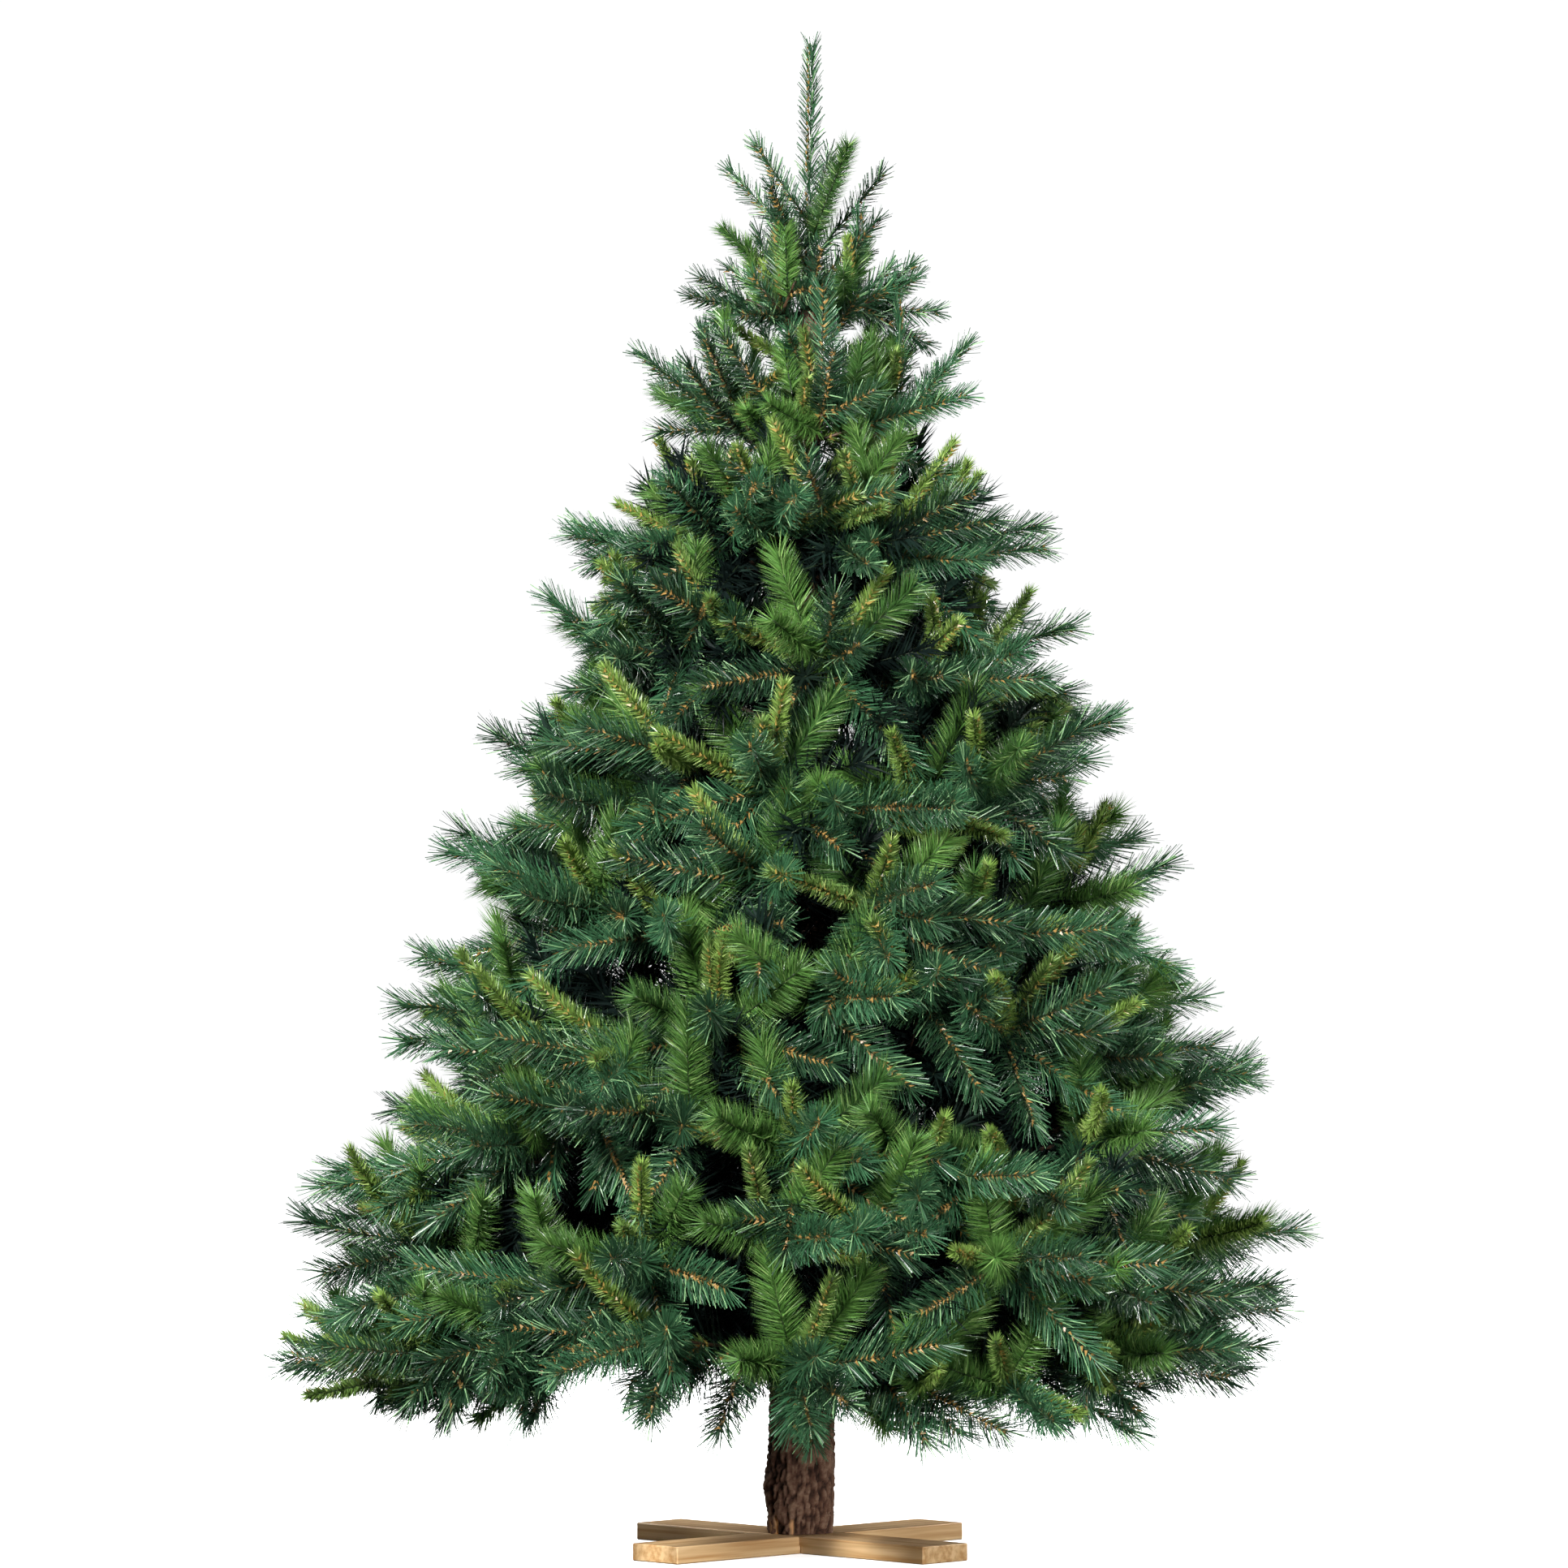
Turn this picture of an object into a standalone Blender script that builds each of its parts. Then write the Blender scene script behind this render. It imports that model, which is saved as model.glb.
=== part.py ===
"""Artificial fir Christmas tree, 2.1 m tall: needle sprays on wired branches, set in a bark-covered log.

Metres, +Z up, origin in the middle of the stand's flat underside, front of the tree facing -Y.
A bearing is counted from -Y towards +X, as seen from above. Every mass of needles is one solid: a stem
that forks into twigs, with spiky sprays fused to them. The trunk, the lower boughs and the two boards of
the stand are solids of their own.
"""

import math
import random

import bmesh
import bpy
from mathutils import Matrix, Vector
from mathutils.bvhtree import BVHTree

GAP = 0.0003  # between solids that touch

# Stand: two boards halved into each other
BOARD_LENGTH = 0.56
BOARD_WIDTH = 0.088
BOARD_THICKNESS = 0.024
BOARD_EDGE = 0.0015
BOARD_TURN = math.radians(45)

# Trunk
TRUNK_FOOT = BOARD_THICKNESS + GAP
TRUNK_TOP = 1.79
TRUNK_RADIUS = 0.0465
TRUNK_TOP_RADIUS = 0.010
FOOT_NIP = 0.004  # how much thinner the sawn foot is than the log above it
FOOT_NIP_HEIGHT = 0.05
TRUNK_LEAN = 0.019  # how far the top stands to +X of the foot
TRUNK_BEND = 0.003
TRUNK_SIDES = 18
TRUNK_RINGS = 9
RING_CROWDING = 1.4  # above 1 the rings stand closer together near the foot
LOBES = ((2, 0.035, 0.6), (3, 0.022, 2.1), (5, 0.012, 4.4))  # count round the log, depth, first phase
LOBE_TWIST = 2.5  # radians for each metre of height
SHARP_EDGE = math.radians(50)

# Crown: a cone of tiers of branches
CROWN_RADIUS = 0.716
CROWN_RADIUS_HEIGHT = 0.446
CROWN_SLOPE = 0.393  # radius lost for each metre of height
WIDEST_RADIUS = 0.735
LOWEST_SHIFT = -0.058  # how far to +X of the log the lowest tier is centred
TIER_BRANCHES = (6, 6, 6, 6, 5, 5, 4, 4, 4, 4)
TIER_BEARINGS = (3, 33, 1, 44, 16, -14, 3, 45, 8, 50)  # of each tier's first branch, in degrees
TIERS_WITH_BOUGHS = 1
LOWEST_NODE = 0.29
HIGHEST_NODE = 1.74
TIER_CROWDING = 1.08  # above 1 the lower tiers stand closer together
LOWEST_RISE = math.radians(1)
HIGHEST_RISE = math.radians(38)
BEARING_PLAY = math.radians(3)
TWIG_TURN = 0.34  # of the angle between two branches of a tier
TWIG_DROP = 0.035  # how far one twig ends below the branch's tip, and the other above it
FULL_DROP_RADIUS = 0.3  # shorter branches have their twigs closer in height
TWIG_REACH = (0.94, 1.0)  # of the branch's own reach
FORK_SHARES = (0.50, 0.58)  # of the way from the trunk to the branch's end, where its two twigs leave it
BOUGH_SHARE = 0.36

BOUGH_RADIUS = 0.007
STEM_RADIUS = 0.0060
STEM_NECK = 0.95  # of the stem's length, before its spray starts
TWIG_NECK = 0.90
LIMB_SIDES = 5
SEAT_GAP = 0.00045  # from the bark to a limb's flat end
SEAT_STEPS = 6  # rays cast from each side of a limb's end
SEAT_SHARES = (0.0, 0.5, 0.8, 1.0)  # of the way from its middle to its rim
SEAT_RAY_START = 0.15

# Sprays: a three-sided core with a row of spikes on each side
SPRAY_LENGTH = 0.215
SPRAY_REACH = 0.052  # of the spikes, from the core's middle
CORE_RADIUS = 0.013
NECK_RADIUS = 0.0035
NECK_LENGTH = 0.035
ROOT_DEPTH = 0.003
SPIKE_ROWS = 3
ROW_TURN = math.radians(40)
SPIKE_SWEEP = 0.034  # how far a spike's point lies ahead of its root
SPIKE_TAPER = 0.62  # reach of the last row, as a share of the first
CORE_SHARE = 0.86  # of a spray's length; the rest is its point
CORE_TAPER = 0.45
LONG_NECK = 0.08
TWIG_SPIKE_ROWS = 2
SIDE_SPIKE_ROWS = 2
TWIG_SPRAY_SIZES = (1.0, 0.8, 0.62)
SIDE_ROOT = -0.010  # from the end of the neck of the twig's own spray
SECOND_SIDE_EVERY = 2
SPRAY_CLEARANCE = 1.03  # a spray is tested this much larger than it is
LARGEST_HOLLOW = 12  # faces of a hollow that crossing spikes seal off
LOWEST_SPRAY = 0.145
TIP_LIFT = 0.5
FULL_SIZE_TIERS = 8
TOP_TIER_SHRINK = 0.16  # of a spray's size, for each tier above those

# Directions in which sprays leave a twig: angle off the twig, turn round it with 0 upwards
SPRAY_WAYS = ((58, 105), (62, 172), (58, -105), (52, 8), (64, 55), (64, -55))
SPRAY_SIZES = (0.9, 0.7)  # tried from the largest
INNER_SHARES = (0.5,)  # of the stem, where the inner sprays leave it
INNER_WAYS = ((66, 20), (60, 165), (66, -40), (60, -150), (64, 80), (64, -80))
LEAST_INNER_STEM = 0.09  # an inner spray needs this much stem behind it

# Leader: the shoot on top of the trunk and the ring of shoots round its foot
LEADER_TOP = 2.10
LEADER_REACH = 0.021
LEADER_CORE = 0.006
LEADER_SWEEP = 0.022
LEADER_NECK = 0.020
LEADER_SPIKE_ROWS = 6
LEADER_STEM = 0.080
LEADER_STEM_RADIUS = 0.009
LEADER_STEM_SIDES = 8
SHOOTS = 5
SHOOT_STRIDE = 3  # neighbouring shoots leave the stem this many steps of height apart
SHOOT_SHARES = (0.3, 0.9)  # of the stem's height, where the lowest and the highest shoot leave it
SHOOT_RISE = math.radians(38)
SHOOT_LENGTH = 0.150
SHOOT_REACH = 0.036
SHOOT_CORE = 0.009

# Materials: colour, roughness
BARK = ("bark", (0.105, 0.052, 0.028), 0.95)
PINE = ("planed_pine", (0.62, 0.42, 0.22), 0.6)
WRAP = ("brown_wrap", (0.16, 0.075, 0.03), 0.8)
NEEDLES = ("green_needles", (0.035, 0.13, 0.045), 0.5)


def clear_scene():
    for obj in list(bpy.data.objects):
        bpy.data.objects.remove(obj, do_unlink=True)


def material(look):
    name, colour, roughness = look
    made = bpy.data.materials.get(name)
    if made is None:
        made = bpy.data.materials.new(name)
        made.use_nodes = True
        shader = made.node_tree.nodes["Principled BSDF"]
        shader.inputs["Base Color"].default_value = (*colour, 1.0)
        shader.inputs["Roughness"].default_value = roughness
    return made


def new_object(name, mesh, look):
    obj = bpy.data.objects.new(name, mesh)
    mesh.materials.append(material(look))
    bpy.context.scene.collection.objects.link(obj)
    return obj


def mesh_from(bm, name):
    mesh = bpy.data.meshes.new(name)
    bmesh.ops.recalc_face_normals(bm, faces=bm.faces)
    bm.to_mesh(mesh)
    bm.free()
    return mesh


# --- The stand -------------------------------------------------------------------------------------------


def board(name, turn, notch_from):
    """One board of the cross, with the halving notch in its top or its underside."""
    bm = bmesh.new()
    bmesh.ops.create_cube(bm, size=1.0)
    bmesh.ops.scale(bm, vec=(BOARD_LENGTH, BOARD_WIDTH, BOARD_THICKNESS), verts=bm.verts)
    bmesh.ops.translate(bm, vec=(0, 0, BOARD_THICKNESS / 2), verts=bm.verts)
    made = new_object(name, mesh_from(bm, name), PINE)

    cutter_mesh = bmesh.new()
    bmesh.ops.create_cube(cutter_mesh, size=1.0)
    notch_height = BOARD_THICKNESS + GAP
    notch = (BOARD_WIDTH + 2 * GAP, 2 * BOARD_WIDTH, notch_height)
    bmesh.ops.scale(cutter_mesh, vec=notch, verts=cutter_mesh.verts)
    middle = BOARD_THICKNESS if notch_from == "top" else 0.0
    bmesh.ops.translate(cutter_mesh, vec=(0, 0, middle), verts=cutter_mesh.verts)
    cutter = new_object(name + "_notch", mesh_from(cutter_mesh, name + "_notch"), PINE)
    cutter.hide_render = True
    cutter.display_type = "WIRE"
    cutter.parent = made

    halving = made.modifiers.new("Halving notch", "BOOLEAN")
    halving.operation = "DIFFERENCE"
    halving.object = cutter
    edge = made.modifiers.new("Eased edges", "BEVEL")
    edge.width = BOARD_EDGE
    edge.segments = 1
    made.rotation_euler.z = turn
    return made


# --- The trunk -------------------------------------------------------------------------------------------


def trunk_middle(height):
    """The centre of the log at a height: it leans a little, with a slight double bend."""
    share = (height - TRUNK_FOOT) / (LEADER_TOP - TRUNK_FOOT)
    bend = TRUNK_BEND * math.sin(2 * math.pi * share)
    return Vector((TRUNK_LEAN * share + bend, 0.5 * bend, height))


def trunk_radius(height, angle):
    """The log's radius, towards an angle counted from +X: a taper, a nipped foot and shallow lobes."""
    share = (height - TRUNK_FOOT) / (TRUNK_TOP - TRUNK_FOOT)
    radius = TRUNK_RADIUS + (TRUNK_TOP_RADIUS - TRUNK_RADIUS) * share
    radius -= FOOT_NIP * math.exp(-(height - TRUNK_FOOT) / FOOT_NIP_HEIGHT)
    lobes = sum(
        depth * math.sin(count * angle + phase + LOBE_TWIST * count * height)
        for count, depth, phase in LOBES
    )
    return radius * (1 + lobes)


def trunk():
    bm = bmesh.new()
    rings = []
    for ring in range(TRUNK_RINGS + 1):
        share = (ring / TRUNK_RINGS) ** RING_CROWDING
        height = TRUNK_FOOT + (TRUNK_TOP - TRUNK_FOOT) * share
        middle = trunk_middle(height)
        angles = [2 * math.pi * side / TRUNK_SIDES for side in range(TRUNK_SIDES)]
        rings.append(
            [bm.verts.new(middle + trunk_radius(height, a) * Vector((math.cos(a), math.sin(a), 0)))
             for a in angles]
        )
    join_rings(bm, rings)
    bmesh.ops.triangulate(bm, faces=bm.faces)
    made = new_object("trunk", mesh_from(bm, "trunk"), BARK)
    made.data.shade_smooth()
    made.data.set_sharp_from_angle(angle=SHARP_EDGE)
    return made


def join_rings(bm, rings):
    """Side faces between neighbouring rings of vertices, and a flat face on each end."""
    for lower, upper in zip(rings, rings[1:]):
        for side in range(len(lower)):
            after = (side + 1) % len(lower)
            bm.faces.new((lower[side], lower[after], upper[after], upper[side]))
    bm.faces.new(reversed(rings[0]))
    bm.faces.new(rings[-1])


# --- Where every branch and twig lies --------------------------------------------------------------------


def crown_radius(height):
    return min(WIDEST_RADIUS, CROWN_RADIUS - CROWN_SLOPE * (height - CROWN_RADIUS_HEIGHT))


def outwards(bearing):
    return Vector((math.sin(bearing), -math.cos(bearing), 0.0))


def branch_plan(bark):
    """Every branch, from the lowest tier up, with the points where it leaves the trunk, forks and ends."""
    branches = []
    top_tier = len(TIER_BRANCHES) - 1
    for tier, count in enumerate(TIER_BRANCHES):
        share = tier / top_tier
        node_height = LOWEST_NODE + (HIGHEST_NODE - LOWEST_NODE) * share**TIER_CROWDING
        rise = LOWEST_RISE + (HIGHEST_RISE - LOWEST_RISE) * share
        size = 1 - TOP_TIER_SHRINK * max(0, tier + 1 - FULL_SIZE_TIERS)
        node_radius = crown_radius(node_height) - SPRAY_LENGTH * size * math.cos(rise)
        root_height = node_height - node_radius * math.tan(rise)
        for number in range(count):
            dice = random.Random(100 * tier + number)
            bearing = math.radians(TIER_BEARINGS[tier] + 360 * number / count)
            bearing += dice.uniform(-BEARING_PLAY, BEARING_PLAY)
            middle = trunk_middle(root_height)
            centre = Vector((middle.x + (LOWEST_SHIFT if tier == 0 else 0), middle.y, node_height))
            end = centre + outwards(bearing) * node_radius
            along = (end - middle).normalized()
            has_bough = tier < TIERS_WITH_BOUGHS
            rod = (BOUGH_RADIUS, LIMB_SIDES) if has_bough else (STEM_RADIUS, 3)
            root = off_the_bark(middle, along, corners_of(along, *rod), bark)
            twigs = []
            for side, fork_share in zip((-1, 1), FORK_SHARES):
                turn = side * TWIG_TURN * 2 * math.pi / count
                drop = TWIG_DROP * min(1.0, node_radius / FULL_DROP_RADIUS) * (side if number % 2 else -side)
                away = outwards(bearing + turn) * node_radius * dice.uniform(*TWIG_REACH)
                twigs.append((middle.lerp(end, fork_share), centre + Vector((0, 0, drop)) + away))
            branches.append(
                {
                    "name": f"tier{tier + 1}_branch{number + 1}",
                    "has_bough": has_bough,
                    "root": root,
                    "end": end,
                    "bough_end": middle.lerp(end, BOUGH_SHARE),
                    "twigs": twigs,
                    "rise": rise,
                    "size": size,
                }
            )
    return branches


# --- Limbs -----------------------------------------------------------------------------------------------


def across(direction):
    """Two unit vectors at right angles to a direction and each other: up-ish, then sideways."""
    up = Vector((0, 0, 1)) - direction * direction.z
    if up.length < 0.05:
        up = Vector((0, -1, 0)) - direction * direction.dot(Vector((0, -1, 0)))
    up.normalize()
    return up, direction.cross(up)


def corners_of(direction, radius, sides):
    """The corners of a rod's end, from its middle."""
    up, side = across(direction)
    angles = [2 * math.pi * corner / sides for corner in range(sides)]
    return [radius * (math.cos(angle) * side + math.sin(angle) * up) for angle in angles]


def limb_bmesh(start, end, start_radius, end_radius, sides):
    """A tapering rod with flat ends."""
    direction = (end - start).normalized()
    bm = bmesh.new()
    rings = []
    for point, radius in ((start, start_radius), (end, end_radius)):
        rings.append([bm.verts.new(point + corner) for corner in corners_of(direction, radius, sides)])
    join_rings(bm, rings)
    return bm


def off_the_bark(root, direction, corners, bark):
    """The point along a direction from the log's middle where a rod's flat end is a gap clear of the bark."""
    furthest = 0.0
    for corner, after in zip(corners, corners[1:] + corners[:1]):
        for step in range(SEAT_STEPS):
            for share in SEAT_SHARES:
                off = share * corner.lerp(after, step / SEAT_STEPS)
                hit = bark.ray_cast(root + off + direction * SEAT_RAY_START, -direction)
                if hit[0] is not None:
                    furthest = max(furthest, SEAT_RAY_START - hit[3])
    return root + direction * (furthest + SEAT_GAP)


# --- Sprays ----------------------------------------------------------------------------------------------


def spray_bmesh(root, tip, neck, reach, rows, core=CORE_RADIUS, sweep=SPIKE_SWEEP, depth=ROOT_DEPTH):
    """A spray: a thin neck, then a three-sided core whose every face is drawn out into a swept spike."""
    length = (tip - root).length
    core_length = length * CORE_SHARE - neck
    stations = [(-depth, STEM_RADIUS if depth == 0 else NECK_RADIUS)]
    if neck > LONG_NECK:
        stations.append((neck - NECK_LENGTH, NECK_RADIUS))
    first_row = len(stations)
    for row in range(rows + 1):
        share = row / rows
        stations.append((neck + core_length * share, core * (1 - CORE_TAPER * share)))
    bm = bmesh.new()
    rings = []
    for step, (height, radius) in enumerate(stations):
        angles = [ROW_TURN * step + 2 * math.pi * corner / 3 for corner in range(3)]
        rings.append([bm.verts.new((radius * math.cos(a), radius * math.sin(a), height)) for a in angles])
    for step, (lower, upper) in enumerate(zip(rings, rings[1:])):
        row = step - first_row
        far = reach * (1 - (1 - SPIKE_TAPER) * max(0, row) / max(1, rows - 1))
        for corner in range(3):
            after = (corner + 1) % 3
            face = (lower[corner], lower[after], upper[after], upper[corner])
            if row < 0:
                bm.faces.new(face).tag = True
                continue
            middle = sum((vertex.co for vertex in face), Vector()) / 4
            away = Vector((middle.x, middle.y, 0)).normalized()
            spike = bm.verts.new(away * far + Vector((0, 0, middle.z + sweep)))
            for one, other in zip(face, face[1:] + face[:1]):
                bm.faces.new((one, other, spike))
    point = bm.verts.new((0, 0, length))
    for corner in range(3):
        bm.faces.new((rings[-1][corner], rings[-1][(corner + 1) % 3], point))
    bm.faces.new(reversed(rings[0])).tag = True
    twisted = [face for face in bm.faces if len(face.verts) > 3]
    for face in bmesh.ops.triangulate(bm, faces=twisted)["faces"]:
        face.tag = True
    direction = (tip - root).normalized()
    up, side = across(direction)
    turned = Matrix((side, up, direction)).transposed().to_4x4()
    bmesh.ops.transform(bm, matrix=Matrix.Translation(root) @ turned, verts=bm.verts)
    return bm


def tree_of(bm, swell=1.0, with_neck=True):
    """A search tree over a shape's faces, for finding where it meets others. The shape can be swollen."""
    points = [vertex.co.copy() for vertex in bm.verts]
    middle = sum(points, Vector()) / len(points)
    points = [middle + (point - middle) * swell for point in points]
    bm.verts.index_update()
    faces = [[v.index for v in face.verts] for face in bm.faces if with_neck or not face.tag]
    return BVHTree.FromPolygons(points, faces)


class Mass:
    """One mass of needles while it grows: its shapes, and a search tree of each."""

    def __init__(self, name, size=1.0):
        self.name = name
        self.size = size
        self.shapes = []
        self.trees = []
        self.twigs = []  # of each twig's spray: the fork it leaves from, its tip and its neck's length

    def add(self, bm):
        self.shapes.append(bm)
        self.trees.append(tree_of(bm))

    def meets(self, tree):
        return any(tree.overlap(own) for own in self.trees)


def spray_fits(bm, mass, masses, limbs):
    """Whether a spray keeps clear of the trunk, the boughs, every other mass, and past its neck of its own."""
    tree = tree_of(bm, SPRAY_CLEARANCE)
    if any(tree.overlap(limb) for limb in limbs):
        return False
    if mass.meets(tree_of(bm, SPRAY_CLEARANCE, with_neck=False)):
        return False
    return not any(other is not mass and other.meets(tree) for other in masses)


def grow_masses(branches, limbs):
    """Stems first, then the twigs beside each, then the sprays beside every twig, as far as they fit."""
    masses = [stem_mass(branch) for branch in branches]
    for branch, mass in zip(branches, masses):
        for fork, end in branch["twigs"]:
            along = (end - fork).normalized()
            neck = (end - fork).length * TWIG_NECK
            for share in TWIG_SPRAY_SIZES:
                size = share * branch["size"]
                tip = end + (along + lift_of(branch)).normalized() * SPRAY_LENGTH * size
                bm = spray_bmesh(fork, tip, neck, SPRAY_REACH * size, TWIG_SPIKE_ROWS)
                if spray_fits(bm, mass, masses, limbs):
                    mass.add(bm)
                    mass.twigs.append((fork, tip, neck))
                    break
    for choice in range(2):
        for number, mass in enumerate(masses):
            for twig, (fork, tip, neck) in enumerate(mass.twigs):
                if choice == 0 or (number + twig) % SECOND_SIDE_EVERY == 0:
                    root = fork + (tip - fork).normalized() * (neck + SIDE_ROOT)
                    turn = number + twig + 3 * choice
                    add_side_spray(mass, root, tip, SPRAY_WAYS, turn, masses, limbs)
    for choice, share in enumerate(INNER_SHARES):
        for number, mass in enumerate(masses):
            start, tip, neck = mass.twigs[0]
            if neck * share > LEAST_INNER_STEM:
                root = start + (tip - start).normalized() * neck * share
                add_side_spray(mass, root, tip, INNER_WAYS, number + choice, masses, limbs)
    return masses


def lift_of(branch):
    """How much a branch's sprays turn up past the twigs' ends."""
    return Vector((0, 0, TIP_LIFT * math.sin(branch["rise"])))


def stem_mass(branch):
    """A mass with only its stem, which meets the bough's tip where there is a bough, and else the trunk."""
    mass = Mass(branch["name"] + "_needles", branch["size"])
    along = (branch["end"] - branch["root"]).normalized()
    start = branch["bough_end"] + along * GAP if branch["has_bough"] else branch["root"]
    tip = branch["end"] + along * SPRAY_LENGTH * branch["size"]
    neck = (branch["end"] - start).length * STEM_NECK
    bm = spray_bmesh(start, tip, neck, SPRAY_REACH * branch["size"], SPIKE_ROWS, depth=0)
    mass.add(bm)
    mass.twigs.append((start, tip, neck))
    return mass


def add_side_spray(mass, root, tip, ways, turn, masses, limbs):
    """Tries directions and sizes in turn for a spray beside a twig, and keeps the first that fits."""
    along = (tip - root).normalized()
    up, side = across(along)
    for share in SPRAY_SIZES:
        size = share * mass.size
        for attempt in range(len(ways)):
            off, roll = (math.radians(angle) for angle in ways[(turn + attempt) % len(ways)])
            away = math.cos(off) * along + math.sin(off) * (math.cos(roll) * up - math.sin(roll) * side)
            side_tip = root + away * SPRAY_LENGTH * size
            if side_tip.z < LOWEST_SPRAY:
                continue
            bm = spray_bmesh(root, side_tip, NECK_LENGTH * size, SPRAY_REACH * size, SIDE_SPIKE_ROWS)
            if spray_fits(bm, mass, masses, limbs):
                mass.add(bm)
                return


def leader_mass(masses, limbs):
    """The shoot on top of the trunk, with its ring of shoots."""
    mass = Mass("leader_needles")
    foot = trunk_middle(TRUNK_TOP) + Vector((0, 0, GAP))
    top = foot + Vector((0, 0, LEADER_STEM))
    mass.add(limb_bmesh(foot, top, LEADER_STEM_RADIUS, STEM_RADIUS, LEADER_STEM_SIDES))
    tip = trunk_middle(LEADER_TOP)
    mass.add(spray_bmesh(top, tip, LEADER_NECK, LEADER_REACH, LEADER_SPIKE_ROWS, LEADER_CORE, LEADER_SWEEP))
    for shoot in range(SHOOTS):
        bearing = 2 * math.pi * (shoot + 0.5) / SHOOTS
        away = outwards(bearing) * math.cos(SHOOT_RISE) + Vector((0, 0, math.sin(SHOOT_RISE)))
        step = (SHOOT_STRIDE * shoot % SHOOTS) / (SHOOTS - 1)
        share = SHOOT_SHARES[0] + (SHOOT_SHARES[1] - SHOOT_SHARES[0]) * step
        root = foot.lerp(top, share)
        bm = spray_bmesh(root, root + away * SHOOT_LENGTH, NECK_LENGTH, SHOOT_REACH, SPIKE_ROWS, SHOOT_CORE)
        if spray_fits(bm, mass, masses, limbs):
            mass.add(bm)
    return mass


def shells(bm):
    """The separate shells of a mesh, each as a list of its faces."""
    found = []
    seen = set()
    for first in bm.faces:
        if first in seen:
            continue
        seen.add(first)
        shell = [first]
        for face in shell:
            for edge in face.edges:
                for other in edge.link_faces:
                    if other not in seen:
                        seen.add(other)
                        shell.append(other)
        found.append(shell)
    return found


def fill_hollows(mesh):
    """Fills the small hollows that crossing shapes seal off, then tells whether one closed shell is left."""
    bm = bmesh.new()
    bm.from_mesh(mesh)
    bmesh.ops.triangulate(bm, faces=bm.faces)
    hollows = [shell for shell in shells(bm) if len(shell) <= LARGEST_HOLLOW]
    for shell in hollows:
        bmesh.ops.delete(bm, geom=shell, context="FACES")
    closed = len(bm.faces) > 0 and all(edge.is_manifold for edge in bm.edges)
    whole = closed and len(shells(bm)) == 1
    bm.to_mesh(mesh)
    bm.free()
    return whole


def fuse(mass):
    """One Boolean union joins a mass's stem with everything that grows on it."""
    stem, *rest = mass.shapes
    obj = new_object(mass.name, mesh_from(stem, mass.name), NEEDLES)
    parts = bpy.data.collections.new(mass.name + "_parts")
    bpy.context.scene.collection.children.link(parts)
    for number, bm in enumerate(rest):
        part = bpy.data.objects.new(f"{mass.name}_part{number}", mesh_from(bm, "part"))
        parts.objects.link(part)
    union = obj.modifiers.new("Fuse", "BOOLEAN")
    union.operation = "UNION"
    union.operand_type = "COLLECTION"
    union.collection = parts
    for solver in ("EXACT", "MANIFOLD"):
        union.solver = solver
        graph = bpy.context.evaluated_depsgraph_get()
        fused = bpy.data.meshes.new_from_object(obj.evaluated_get(graph), depsgraph=graph)
        if fill_hollows(fused):
            break
        print(f"{mass.name}: {solver} left it open or in pieces")
    obj.modifiers.clear()
    obj.data = fused
    for part in list(parts.objects):
        bpy.data.objects.remove(part, do_unlink=True)
    bpy.data.collections.remove(parts)
    obj.data.materials.clear()
    obj.data.materials.append(material(NEEDLES))
    return obj


# --- The whole tree --------------------------------------------------------------------------------------


def main():
    clear_scene()
    board("stand_board_lower", BOARD_TURN, "top")
    board("stand_board_upper", BOARD_TURN + math.pi / 2, "underside")
    log = trunk()
    bm = bmesh.new()
    bm.from_mesh(log.data)
    limbs = [tree_of(bm)]
    bm.free()
    branches = branch_plan(limbs[0])
    for branch in branches:
        if branch["has_bough"]:
            bm = limb_bmesh(branch["root"], branch["bough_end"], BOUGH_RADIUS, STEM_RADIUS, LIMB_SIDES)
            limbs.append(tree_of(bm))
            new_object(branch["name"] + "_bough", mesh_from(bm, "bough"), WRAP)
    masses = grow_masses(branches, limbs)
    masses.append(leader_mass(masses, limbs))
    for mass in masses:
        fuse(mass)


main()
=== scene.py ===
# %% [markdown]
# # An artificial fir Christmas tree
# The real thing is 2.1 m tall: a bark-covered log, wired branches set in it tier by tier, and tips made
# of cut PVC film twisted between two wires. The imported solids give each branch's place and reach. Here
# the same rule lays out the branches again and carries them on to single needles.
# Everything is in metres, +Z up, with the front of the tree facing -Y.

import math
import random

import bpy
import numpy as np
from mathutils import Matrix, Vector, noise


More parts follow.
